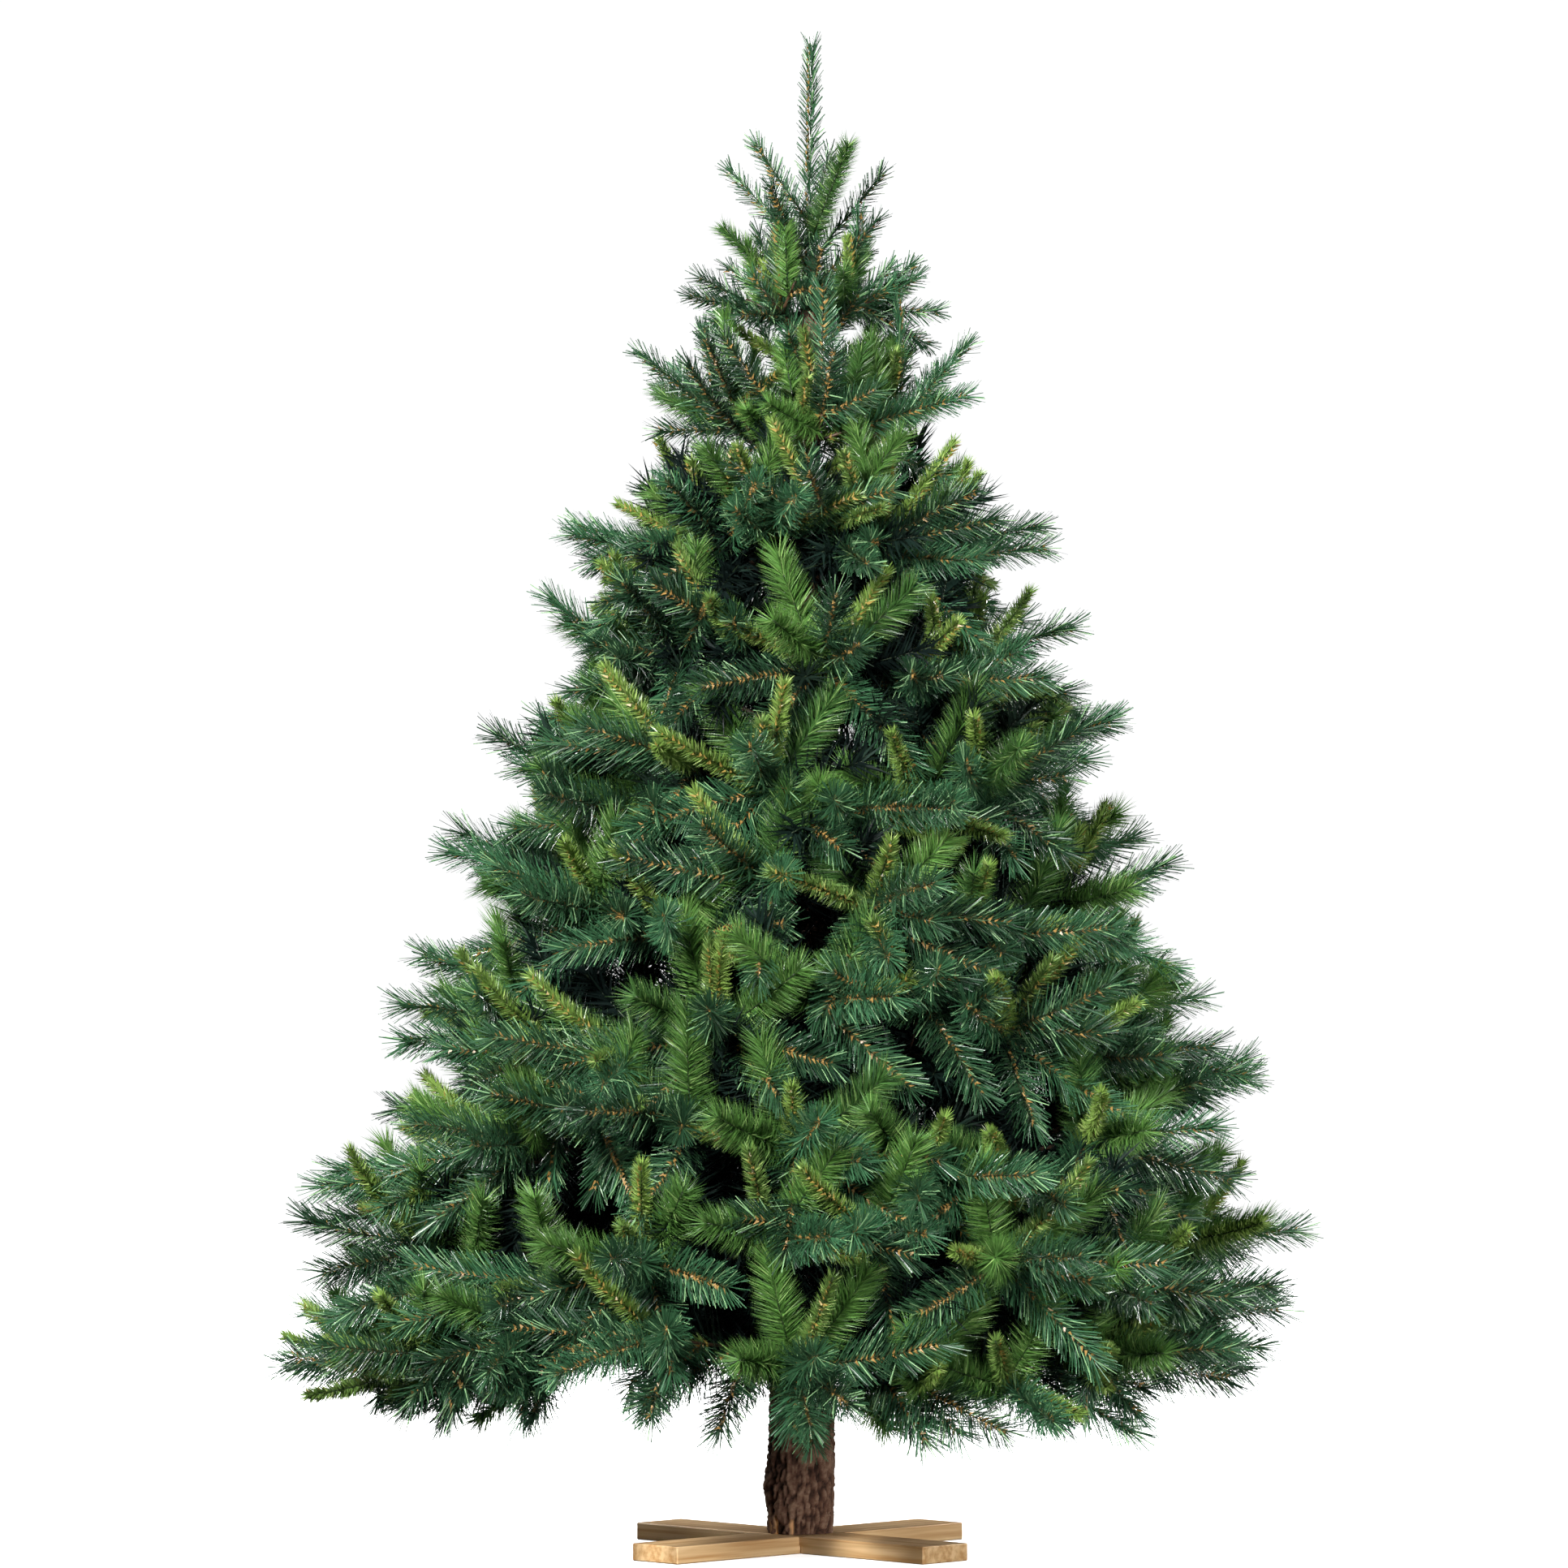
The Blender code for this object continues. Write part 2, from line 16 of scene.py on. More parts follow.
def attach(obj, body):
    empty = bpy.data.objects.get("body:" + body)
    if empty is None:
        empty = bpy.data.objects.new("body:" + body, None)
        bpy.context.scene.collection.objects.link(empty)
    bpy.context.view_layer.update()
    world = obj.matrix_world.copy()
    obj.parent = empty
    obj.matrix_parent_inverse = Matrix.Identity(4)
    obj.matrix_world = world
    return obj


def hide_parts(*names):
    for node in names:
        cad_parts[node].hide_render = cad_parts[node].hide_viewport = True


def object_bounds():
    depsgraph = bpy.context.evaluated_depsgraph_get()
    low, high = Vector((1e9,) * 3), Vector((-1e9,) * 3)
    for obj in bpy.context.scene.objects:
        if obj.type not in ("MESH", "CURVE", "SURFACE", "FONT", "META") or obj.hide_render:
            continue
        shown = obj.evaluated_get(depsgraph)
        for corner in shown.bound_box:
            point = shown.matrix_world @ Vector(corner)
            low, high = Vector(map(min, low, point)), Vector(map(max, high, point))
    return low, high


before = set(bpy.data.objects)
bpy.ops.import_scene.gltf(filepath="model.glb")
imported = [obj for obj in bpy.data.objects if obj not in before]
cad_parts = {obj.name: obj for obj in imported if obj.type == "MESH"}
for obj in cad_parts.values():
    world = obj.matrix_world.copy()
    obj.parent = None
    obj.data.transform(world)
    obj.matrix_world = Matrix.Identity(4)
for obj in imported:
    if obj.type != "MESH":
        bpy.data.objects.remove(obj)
cad_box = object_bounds()
print(len(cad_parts), "solids, box", cad_box)

# %% [markdown]
# ## Helpers for materials
# A material is a small graph of nodes. Writing each node out takes three or four lines, so one function
# adds a node, sets its properties, and either sets or links each of its inputs. Colours are written as
# sRGB hex, as a paint chart has them, and turned to the linear values that the shader counts with.

# %% Colours and nodes


def linear(hex_colour):
    """An sRGB colour such as "#3c7a35" as linear red, green, blue and alpha."""
    shares = [int(hex_colour[i : i + 2], 16) / 255 for i in (1, 3, 5)]
    return (*[s / 12.92 if s <= 0.04045 else ((s + 0.055) / 1.055) ** 2.4 for s in shares], 1.0)


def add_node(tree, kind, inputs=None, **settings):
    """Adds a node with its settings. An input is a value, or the output that is linked to it."""
    made = tree.nodes.new(kind)
    for name, value in settings.items():
        setattr(made, name, value)
    for name, value in (inputs or {}).items():
        if isinstance(value, bpy.types.NodeSocket):
            tree.links.new(value, made.inputs[name])
        else:
            made.inputs[name].default_value = value
    return made


def new_material(name, **inputs):
    """A material with plain numbers and colours on its shader, and its node tree and shader."""
    made = bpy.data.materials.new(name)
    made.use_nodes = True
    shader = made.node_tree.nodes["Principled BSDF"]
    for socket, value in inputs.items():
        shader.inputs[socket.replace("_", " ")].default_value = value
    return made, made.node_tree, shader


# %% [markdown]
# ## Camera, floor and light
# A catalogue picture of a tree is taken from well back, level with its middle, so that the tiers stack up
# straight, and a long lens does the same here. Light could come from a bright sky all round, but that would
# fill the gaps between the tips, and a fir looks deep because they are dark. So one strong soft box stands
# high on the left, in front, and a weak one low on the right. One above and two behind keep the top and the
# back from going black, and next to nothing comes from all round.

# %% Camera
VIEW_WIDTH = 2.170  # what the frame takes in at the trunk
CAMERA_PLACE = Vector((-0.022, -12.0, 1.060))
SENSOR = 36.0

lens = bpy.data.cameras.new("camera")
lens.sensor_width = SENSOR
lens.lens = SENSOR * -CAMERA_PLACE.y / VIEW_WIDTH
camera = bpy.data.objects.new("camera", lens)
camera.location = CAMERA_PLACE
camera.rotation_euler = (math.radians(90), 0, 0)
bpy.context.scene.collection.objects.link(camera)
bpy.context.scene.camera = camera
print(f"lens {lens.lens:.0f} mm")

# %% Floor and backdrop
FLOOR_RADIUS = 60.0
CIRCLE_SIDES = 96
DOME_RINGS = 12
DOME_DROP = 1.0  # how far the backdrop reaches below the floor, so that no gap shows
NEAR_GLOW = 0.74  # lifts the floor by the tree to near white, and leaves the stand its soft shadow
FAR_GLOW = 1.0  # further off it is lifted to the backdrop's even white
GLOW_RADII = (0.55, 3.0)


def stage_object(name, points, faces, material):
    """A floor or backdrop. It is seen and takes shadows, but throws no light back on the tree."""
    mesh = bpy.data.meshes.new(name)
    mesh.from_pydata(points, [], faces)
    mesh.materials.append(material)
    made = bpy.data.objects.new(name, mesh)
    made.visible_diffuse = False
    made.visible_glossy = False
    bpy.context.scene.collection.objects.link(made)


def circle(radius, height):
    """Points round a level circle."""
    turns = [2 * math.pi * step / CIRCLE_SIDES for step in range(CIRCLE_SIDES)]
    return [(radius * math.cos(turn), radius * math.sin(turn), height) for turn in turns]


def ring_faces(rings, sides, first_cap=True):
    """The faces between rings of points that are stacked up, and the caps that close both ends."""
    faces = []
    for ring in range(rings - 1):
        low = ring * sides
        high = low + sides
        for side in range(sides):
            after = (side + 1) % sides
            faces.append((low + side, low + after, high + after, high + side))
    if first_cap:
        faces.append(tuple(reversed(range(sides))))
    faces.append(tuple(range((rings - 1) * sides, rings * sides)))
    return faces


white_floor, tree, shader = new_material("white_painted_floor", Roughness=0.7)
shader.inputs["Emission Color"].default_value = (1, 1, 1, 1)
place = add_node(tree, "ShaderNodeTexCoord").outputs["Object"]
off = add_node(tree, "ShaderNodeVectorMath", {0: place}, operation="LENGTH")
glow = add_node(tree, "ShaderNodeMapRange", {"Value": off.outputs["Value"]}, interpolation_type="SMOOTHSTEP")
glow.inputs["From Min"].default_value = GLOW_RADII[0]
glow.inputs["From Max"].default_value = GLOW_RADII[1]
glow.inputs["To Min"].default_value = NEAR_GLOW
glow.inputs["To Max"].default_value = FAR_GLOW
tree.links.new(glow.outputs["Result"], shader.inputs["Emission Strength"])
grain = add_node(tree, "ShaderNodeTexNoise", {"Scale": 3.0, "Detail": 2.0})
tint = add_node(tree, "ShaderNodeMix", {"Factor": grain.outputs["Fac"]}, data_type="RGBA")
tint.inputs["A"].default_value = linear("#f6f6f6")
tint.inputs["B"].default_value = linear("#f2f2f2")
tree.links.new(tint.outputs["Result"], shader.inputs["Base Color"])
stage_object("floor", circle(FLOOR_RADIUS, 0.0), [tuple(range(CIRCLE_SIDES))], white_floor)

white_backdrop, tree, shader = new_material("white_backdrop", Roughness=0.9)
shader.inputs["Emission Color"].default_value = (1, 1, 1, 1)
shader.inputs["Emission Strength"].default_value = 1.0
dome_points = []
for ring in range(DOME_RINGS):
    rise = math.pi / 2 * ring / DOME_RINGS
    dome_points += circle(FLOOR_RADIUS * math.cos(rise), FLOOR_RADIUS * math.sin(rise) - DOME_DROP)
stage_object("backdrop", dome_points, ring_faces(DOME_RINGS, CIRCLE_SIDES, first_cap=False), white_backdrop)
print("floor and backdrop", FLOOR_RADIUS, "m in radius")

# %% Lights
LAMP_TARGET = Vector((0, 0, 1.0))


def soft_box(name, place, side, watts):
    """A square lamp that faces the middle of the tree."""
    lamp = bpy.data.lights.new(name, "AREA")
    lamp.size = side
    lamp.energy = watts
    obj = bpy.data.objects.new(name, lamp)
    obj.location = place
    obj.rotation_euler = (LAMP_TARGET - Vector(place)).to_track_quat("-Z", "Y").to_euler()
    bpy.context.scene.collection.objects.link(obj)


soft_box("soft_box_left", (-2.2, -5.8, 3.5), 0.8, 1020)
soft_box("soft_box_right", (2.6, -4.4, 0.6), 0.9, 180)
soft_box("soft_box_top", (0.3, 0.2, 5.0), 2.0, 50)
soft_box("soft_box_back_right", (4.4, 3.8, 2.8), 1.6, 620)
soft_box("soft_box_back_left", (-4.2, 4.2, 2.8), 1.6, 620)
surround = bpy.data.worlds.new("faint_surround")
surround.use_nodes = True
surround.node_tree.nodes["Background"].inputs["Color"].default_value = linear("#b4ccf6")
surround.node_tree.nodes["Background"].inputs["Strength"].default_value = 0.015
bpy.context.scene.world = surround
bpy.context.scene.view_settings.view_transform = "Standard"
print(len(bpy.data.lights), "lamps")

# %% [markdown]
# ## Helpers for meshes
# A tree has hundreds of thousands of small faces. Blender's own objects would be far too slow for that,
# so the shapes are worked out as arrays of numbers, a whole tip at a time, and each kind becomes one mesh.

# %% Meshes


def new_piece(name, corners, faces, materials, shades=None, smooth=False):
    """An object from corner points and faces. shades gives each face's material by its number."""
    mesh = bpy.data.meshes.new(name)
    mesh.from_pydata(np.asarray(corners, float).reshape(-1, 3).tolist(), [], faces)
    for each in materials:
        mesh.materials.append(each)
    if shades is not None:
        mesh.polygons.foreach_set("material_index", np.asarray(shades, np.int32))
    if smooth:
        mesh.shade_smooth()
    made = bpy.data.objects.new(name, mesh)
    bpy.context.scene.collection.objects.link(made)
    return made


def triangles(piece):
    return sum(len(face.vertices) - 2 for face in piece.data.polygons)


def unit(vectors):
    return vectors / np.linalg.norm(vectors, axis=-1, keepdims=True)


# %% [markdown]
# ## The log
# The trunk is a real log with its bark on: it tapers, leans a little and was nipped in where it was sawn.
# A bump in the finish would leave its outline smooth, so the bark's ridges and cracks are made in the
# mesh. A noise that is stretched along the log crosses zero in long, wandering lines, and these become the
# cracks, as bark splits lengthwise when the wood inside grows. A finer noise lifts scales between them.

# %% The log's shape
GAP = 0.0003
BOARD_THICKNESS = 0.024
TRUNK_FOOT = BOARD_THICKNESS + GAP
TRUNK_TOP = 1.79
TRUNK_RADIUS = 0.0465
TRUNK_TOP_RADIUS = 0.010
FOOT_NIP = 0.004
FOOT_NIP_HEIGHT = 0.05
TRUNK_LEAN = 0.019
TRUNK_BEND = 0.003
LEADER_TOP = 2.10
LOBES = ((2, 0.035, 0.6), (3, 0.022, 2.1), (5, 0.012, 4.4))  # count round the log, depth, first phase
LOBE_TWIST = 2.5  # radians for each metre of height


def trunk_middle(height):
    """The centre of the log at a height: it leans a little, with a slight double bend."""
    share = (height - TRUNK_FOOT) / (LEADER_TOP - TRUNK_FOOT)
    bend = TRUNK_BEND * math.sin(2 * math.pi * share)
    return Vector((TRUNK_LEAN * share + bend, 0.5 * bend, height))


def trunk_radius(height, angle):
    """The log's radius, towards an angle counted from +X: a taper, a nipped foot and shallow lobes."""
    share = (height - TRUNK_FOOT) / (TRUNK_TOP - TRUNK_FOOT)
    radius = TRUNK_RADIUS + (TRUNK_TOP_RADIUS - TRUNK_RADIUS) * share
    radius -= FOOT_NIP * math.exp(-(height - TRUNK_FOOT) / FOOT_NIP_HEIGHT)
    lobes = sum(d * math.sin(n * angle + first + LOBE_TWIST * n * height) for n, d, first in LOBES)
    return radius * (1 + lobes)


# %% The bark's relief
RIDGE_WIDTH = 0.011
RIDGE_STRETCH = 3.2  # a ridge's height for its width
CRACK_EDGE = 0.30  # the noise's value where a crack's side has risen to the ridge
CRACK_DEPTH = 0.0036
SCALE_SIZE = 0.0055
SCALE_STRETCH = 1.5
SCALE_DEPTH = 0.0022
WANDER = 0.005  # how far the cracks stray from straight lines
WANDER_SIZE = 0.025
WANDER_SHIFTS = (0.0, 7.3, 15.1)  # each of the three directions reads the noise at a place of its own
KNOT = (math.radians(185), 0.094, 0.0060)  # bearing from +X, height, how far it swells
KNOT_SPREAD = 0.022
CHIPPED_TO = 0.085  # the foot has lost bark up to here, on its left side
CHIP_BEARING = math.radians(232)
CHIP_WIDTH = 0.008
CHIP_STRETCH = 4
CHIP_EDGES = (0.60, 0.72)


def smooth_step(low, high, value):
    share = min(1.0, max(0.0, (value - low) / (high - low)))
    return share * share * (3 - 2 * share)


def bark_at(point, angle):
    """How far the bark stands out here, from 0 in a crack to 1 on a scale, and how bare it is chipped."""
    spot = point / WANDER_SIZE
    wander = WANDER * Vector([noise.noise(spot + Vector((shift, 0, 0))) for shift in WANDER_SHIFTS])
    spot = (point + wander) / RIDGE_WIDTH
    spot.z /= RIDGE_STRETCH
    ridge = smooth_step(0.0, CRACK_EDGE, abs(noise.fractal(spot, 1.0, 2.0, 2)))
    spot = (point + 0.6 * wander) / SCALE_SIZE
    spot.z /= SCALE_STRETCH
    scales = 0.5 + 0.75 * noise.fractal(spot, 0.7, 2.1, 4)
    scaly_ridge = 0.55 * ridge + 0.65 * scales * (0.35 + 0.65 * ridge)  # scales are fainter in the cracks
    level = min(1.0, max(0.0, scaly_ridge))
    foot = smooth_step(CHIPPED_TO, 0.04, point.z) * (0.5 + 0.5 * math.cos(angle - CHIP_BEARING)) ** 2
    streak = noise.noise(Vector((point.x, point.y, point.z / CHIP_STRETCH)) / CHIP_WIDTH)
    chip = smooth_step(*CHIP_EDGES, 0.52 * foot + 0.60 * streak)
    return level, chip


# %% The log's rows of points
LOG_SIDES = 110
FINE_ROW = 0.0028  # below the branches, where the log is seen
COARSE_ROW = 0.012
FINE_TO = 0.33
FULL_BARK_RADIUS = 0.03  # further up, where the log is thinner, its bark is thinner too
CHIP_DEPTH = 0.003

rows = list(np.arange(TRUNK_FOOT, FINE_TO, FINE_ROW)) + list(np.arange(FINE_TO, TRUNK_TOP, COARSE_ROW))
rows.append(TRUNK_TOP)
log_points = []
log_levels = []
log_chips = []
for height in rows:
    height = float(height)
    middle = trunk_middle(height)
    for side in range(LOG_SIDES):
        angle = 2 * math.pi * side / LOG_SIDES
        outward = Vector((math.cos(angle), math.sin(angle), 0))
        radius = trunk_radius(height, angle)
        level, chip = bark_at(middle + outward * radius, angle)
        turn = (angle - KNOT[0] + math.pi) % (2 * math.pi) - math.pi
        off_knot = math.hypot(turn * radius, height - KNOT[1]) / KNOT_SPREAD
        radius += KNOT[2] * math.exp(-(off_knot**2))
        relief = (CRACK_DEPTH * (level - 1) + SCALE_DEPTH * level**2) * min(1.0, radius / FULL_BARK_RADIUS)
        radius += relief * (1 - chip) - CHIP_DEPTH * chip
        log_points.append(middle + outward * radius)
        log_levels.append(level)
        log_chips.append(chip)
print(len(rows), "rows of bark")

# %% [markdown]
# ## The bark's finish
# Bark is dead, dry cork: quite rough, with no gloss. Its cracks are dark and reddish, the plates' worn
# tops are a greyer brown, and fresh chips show pale tan wood. The relief worked out above is kept on the
# mesh as an attribute, so that the colours follow the plates instead of sliding over them.

# %% Bark material
SPECKS_PER_METRE = 190.0  # the crust's grains are about 5 mm across
PATCHES_PER_METRE = 45.0  # and its patches about 22 mm

bark, tree, shader = new_material("log_bark", Roughness=0.92)
shader.inputs["Specular IOR Level"].default_value = 0.25
level = add_node(tree, "ShaderNodeAttribute", attribute_name="bark_level").outputs["Fac"]
chip = add_node(tree, "ShaderNodeAttribute", attribute_name="chipped").outputs["Fac"]
place = add_node(tree, "ShaderNodeTexCoord").outputs["Object"]
speck = add_node(tree, "ShaderNodeTexNoise", {"Vector": place, "Scale": SPECKS_PER_METRE})
speck.inputs["Detail"].default_value = 5.0
speck.inputs["Roughness"].default_value = 0.8
patch = add_node(tree, "ShaderNodeTexNoise", {"Vector": place, "Scale": PATCHES_PER_METRE, "Detail": 4.0})
mixed = add_node(tree, "ShaderNodeMath", {0: level, 1: speck.outputs["Fac"]}, operation="MULTIPLY")
tone = add_node(tree, "ShaderNodeValToRGB", {"Fac": mixed.outputs["Value"]})
tone.color_ramp.elements[0].position = 0.03
tone.color_ramp.elements[0].color = linear("#2e1f17")
tone.color_ramp.elements[1].position = 0.70
tone.color_ramp.elements[1].color = linear("#b09279")
middle_tone = tone.color_ramp.elements.new(0.26)
middle_tone.color = linear("#6f5141")
flushed = add_node(tree, "ShaderNodeMix", data_type="RGBA", blend_type="MULTIPLY")
tree.links.new(patch.outputs["Fac"], flushed.inputs["Factor"])
tree.links.new(tone.outputs["Color"], flushed.inputs["A"])
flushed.inputs["B"].default_value = linear("#a08c84")
wood = add_node(tree, "ShaderNodeMix", {"Factor": chip}, data_type="RGBA")
tree.links.new(flushed.outputs["Result"], wood.inputs["A"])
wood.inputs["B"].default_value = linear("#cf9d6c")
tree.links.new(wood.outputs["Result"], shader.inputs["Base Color"])
crust = add_node(tree, "ShaderNodeBump", {"Height": speck.outputs["Fac"], "Strength": 0.8})
crust.inputs["Distance"].default_value = 0.0025
tree.links.new(crust.outputs["Normal"], shader.inputs["Normal"])

# %% The log
log = new_piece("bark_covered_log", log_points, ring_faces(len(rows), LOG_SIDES), [bark], smooth=True)
log.data.attributes.new("bark_level", "FLOAT", "POINT").data.foreach_set("value", log_levels)
log.data.attributes.new("chipped", "FLOAT", "POINT").data.foreach_set("value", log_chips)
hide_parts("trunk")
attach(log, "root")
print("log", triangles(log), "triangles")

# %% [markdown]
# ## The stand
# Two planed pine boards are halved into each other under the log. Their solids are right as they are, so
# they only get a finish. Pine shows darker late-wood lines along the board, 3 to 6 mm apart, with a soft
# satin surface. The lines are stretched noise, laid along each board by turning the texture's axes.

# %% Pine material
BOARD_TURN = math.radians(45)
GRAIN_LINE = 0.005
GRAIN_STRETCH = 0.04  # how slowly the grain changes along a board


def planed_pine(name, turn):
    made, tree, shader = new_material(name, Roughness=0.55)
    place = add_node(tree, "ShaderNodeTexCoord").outputs["Object"]
    board = add_node(tree, "ShaderNodeMapping", {"Vector": place, "Rotation": (0, 0, -turn)})
    along = add_node(tree, "ShaderNodeMapping", {"Vector": board.outputs["Vector"]})
    along.inputs["Scale"].default_value = (GRAIN_STRETCH / GRAIN_LINE, 1 / GRAIN_LINE, 1 / GRAIN_LINE)
    lines = add_node(tree, "ShaderNodeTexNoise", {"Vector": along.outputs["Vector"], "Scale": 0.55})
    lines.inputs["Detail"].default_value = 3.0
    tone = add_node(tree, "ShaderNodeValToRGB", {"Fac": lines.outputs["Fac"]})
    tone.color_ramp.elements[0].position = 0.36
    tone.color_ramp.elements[0].color = linear("#bb8d58")
    tone.color_ramp.elements[1].position = 0.62
    tone.color_ramp.elements[1].color = linear("#debb8a")
    tree.links.new(tone.outputs["Color"], shader.inputs["Base Color"])
    ridge = add_node(tree, "ShaderNodeBump", {"Height": lines.outputs["Fac"], "Strength": 0.15})
    ridge.inputs["Distance"].default_value = 0.001
    tree.links.new(ridge.outputs["Normal"], shader.inputs["Normal"])
    return made


for node_name, turn in (("stand_board_lower", BOARD_TURN), ("stand_board_upper", BOARD_TURN + math.pi / 2)):
    board_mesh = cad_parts[node_name].data
    board_mesh.materials.clear()
    board_mesh.materials.append(planed_pine("planed_pine_" + node_name[-5:], turn))

# %% [markdown]
# ## Where the branches go
# The crown is a cone of ten tiers. A branch leaves the log, rises more steeply the higher it stands, and
# forks into two side twigs. Its line could be measured off its solid. It is simpler to use the rule that
# the solids were grown by again, with the same numbers and the same seeds, so that each branch here lies
# inside the solid that it stands for.

# %% The plan of the branches
CROWN_RADIUS = 0.716
CROWN_RADIUS_HEIGHT = 0.446
CROWN_SLOPE = 0.393  # radius lost for each metre of height
WIDEST_RADIUS = 0.735
LOWEST_SHIFT = -0.058  # how far to +X of the log the lowest tier is centred
TIER_BRANCHES = (6, 6, 6, 6, 5, 5, 4, 4, 4, 4)
TIER_BEARINGS = (3, 33, 1, 44, 16, -14, 3, 45, 8, 50)  # of each tier's first branch, in degrees
TIERS_WITH_BOUGHS = 1
LOWEST_NODE = 0.29
HIGHEST_NODE = 1.74
TIER_CROWDING = 1.08
LOWEST_RISE = math.radians(1)
HIGHEST_RISE = math.radians(38)
BEARING_PLAY = math.radians(3)
TWIG_TURN = 0.34  # of the angle between two branches of a tier
TWIG_DROP = 0.035
FULL_DROP_RADIUS = 0.3
TWIG_REACH = (0.94, 1.0)
FORK_SHARES = (0.50, 0.58)
SPRAY_LENGTH = 0.215
FULL_SIZE_TIERS = 8
TOP_TIER_SHRINK = 0.16


def crown_radius(height):
    return min(WIDEST_RADIUS, CROWN_RADIUS - CROWN_SLOPE * (height - CROWN_RADIUS_HEIGHT))


def outwards(bearing):
    """The level direction at a bearing, counted from -Y towards +X."""
    return Vector((math.sin(bearing), -math.cos(bearing), 0.0))


def branch_plan():
    """Every branch, from the lowest tier up, with its root in the log, its end and its twigs."""
    branches = []
    top_tier = len(TIER_BRANCHES) - 1
    for tier, count in enumerate(TIER_BRANCHES):
        share = tier / top_tier
        node_height = LOWEST_NODE + (HIGHEST_NODE - LOWEST_NODE) * share**TIER_CROWDING
        rise = LOWEST_RISE + (HIGHEST_RISE - LOWEST_RISE) * share
        size = 1 - TOP_TIER_SHRINK * max(0, tier + 1 - FULL_SIZE_TIERS)
        node_radius = crown_radius(node_height) - SPRAY_LENGTH * size * math.cos(rise)
        root_height = node_height - node_radius * math.tan(rise)
        for number in range(count):
            dice = random.Random(100 * tier + number)
            bearing = math.radians(TIER_BEARINGS[tier] + 360 * number / count)
            bearing += dice.uniform(-BEARING_PLAY, BEARING_PLAY)
            root = trunk_middle(root_height)
            centre = Vector((root.x + (LOWEST_SHIFT if tier == 0 else 0), root.y, node_height))
            end = centre + outwards(bearing) * node_radius
            twigs = []
            for side, fork_share in zip((-1, 1), FORK_SHARES):
                turn = side * TWIG_TURN * 2 * math.pi / count
                drop = TWIG_DROP * min(1.0, node_radius / FULL_DROP_RADIUS) * (side if number % 2 else -side)
                away = outwards(bearing + turn) * node_radius * dice.uniform(*TWIG_REACH)
                twigs.append((root.lerp(end, fork_share), centre + Vector((0, 0, drop)) + away))
            branches.append(
                {"name": f"tier{tier + 1}_branch{number + 1}", "tier": tier, "number": number, "root": root,
                 "end": end, "twigs": twigs, "size": size}
            )
    return branches


branches = branch_plan()
print(len(branches), "branches")

# %% [markdown]
# ## Tips and their clusters
# Each branch and twig ends in a cluster of tips, bent apart by hand when the tree is put up. Three kinds of
# tip are mixed. Long tips have straight dark needles swept forward, soft tips are dense mid-green
# brushes, and olive tips are slim, yellow-green and short-needled, and mostly point up. A cluster is a
# list of directions off the twig: the angle away from it, and the turn round it with 0 upwards. Tips
# further in are seldom seen, so they get fewer and wider needles, which close the crown's heart. Their
# film is near black, as painted shade for the dark heart of the crown.

# %% Kinds of tip
# Lengths in metres, angles in degrees. sweep is a needle's angle off the wire, at the tip's foot and its end.
# curl and bend are how far a tip curves up, and away from its twig, as shares of its length. flat is how far
# its needles are pressed towards the plane that faces out of the crown.
LONG = {"name": "long", "length": 0.210, "needle": 0.045, "width": 0.0016, "count": 430, "wire": 0.0016,
        "sweep": (52, 28), "curl": (-0.10, 0.14), "bend": (-0.05, 0.15), "outline": "strip", "flat": 0.84}
SOFT = {"name": "soft", "length": 0.162, "needle": 0.045, "width": 0.0020, "count": 840, "wire": 0.0014,
        "sweep": (60, 36), "curl": (0.0, 0.20), "bend": (-0.05, 0.20), "outline": "point", "flat": 0.66}
OLIVE = {"name": "olive", "length": 0.160, "needle": 0.0205, "width": 0.0029, "count": 740, "wire": 0.0018,
         "sweep": (64, 32), "curl": (-0.05, 0.20), "bend": (0.10, 0.40), "outline": "point", "flat": 0.3}
INNER = {"name": "inner", "length": 0.170, "needle": 0.060, "width": 0.0048, "count": 140, "wire": 0.0016,
         "sweep": (60, 34), "curl": (-0.1, 0.1), "bend": (0.0, 0.1), "outline": "point", "flat": 0.0}

# %% Clusters
# Each tip's kind, angle off the twig, turn round it with 0 upwards, and size. The first is never left out.
END_CLUSTER = (
    (LONG, 8, 90, 1.15),
    (OLIVE, 22, 10, 0.80),
    (LONG, 28, 120, 1.0),
    (SOFT, 30, -100, 0.95),
    (LONG, 62, 98, 1.0),
    (LONG, 62, -106, 1.0),
    (LONG, 66, 142, 0.95),
    (LONG, 66, -150, 0.95),
    (SOFT, 56, 56, 1.0),
    (SOFT, 58, -28, 1.0),
    (LONG, 48, 178, 0.9),
    (OLIVE, 36, 34, 1.1),
    (OLIVE, 40, -84, 1.1),
)
TWIG_CLUSTER = (
    (LONG, 8, 180, 1.10),
    (LONG, 42, 100, 0.95),
    (LONG, 44, -100, 0.95),
    (SOFT, 50, 30, 0.95),
    (SOFT, 56, -70, 0.95),
    (LONG, 60, 165, 0.90),
    (OLIVE, 30, -50, 1.05),
    (OLIVE, 36, 112, 1.0),
)
TOP_END_CLUSTER = (
    (LONG, 6, 0, 1.10),
    (LONG, 40, 8, 1.0),
    (LONG, 42, 176, 1.0),
    (LONG, 44, 98, 1.0),
    (SOFT, 44, -96, 1.0),
    (OLIVE, 34, -40, 1.0),
)
TOP_TWIG_CLUSTER = (
    (LONG, 6, 0, 1.0),
    (LONG, 40, 160, 0.95),
    (SOFT, 44, -20, 0.95),
    (OLIVE, 38, 80, 0.9),
)
SKIRT_TIPS = (
    (LONG, 28, 172, 1.10),
    (LONG, 50, 150, 0.85),
    (LONG, 56, -160, 0.80),
    (SOFT, 34, 172, 0.85),
    (OLIVE, 40, -130, 1.0),
)
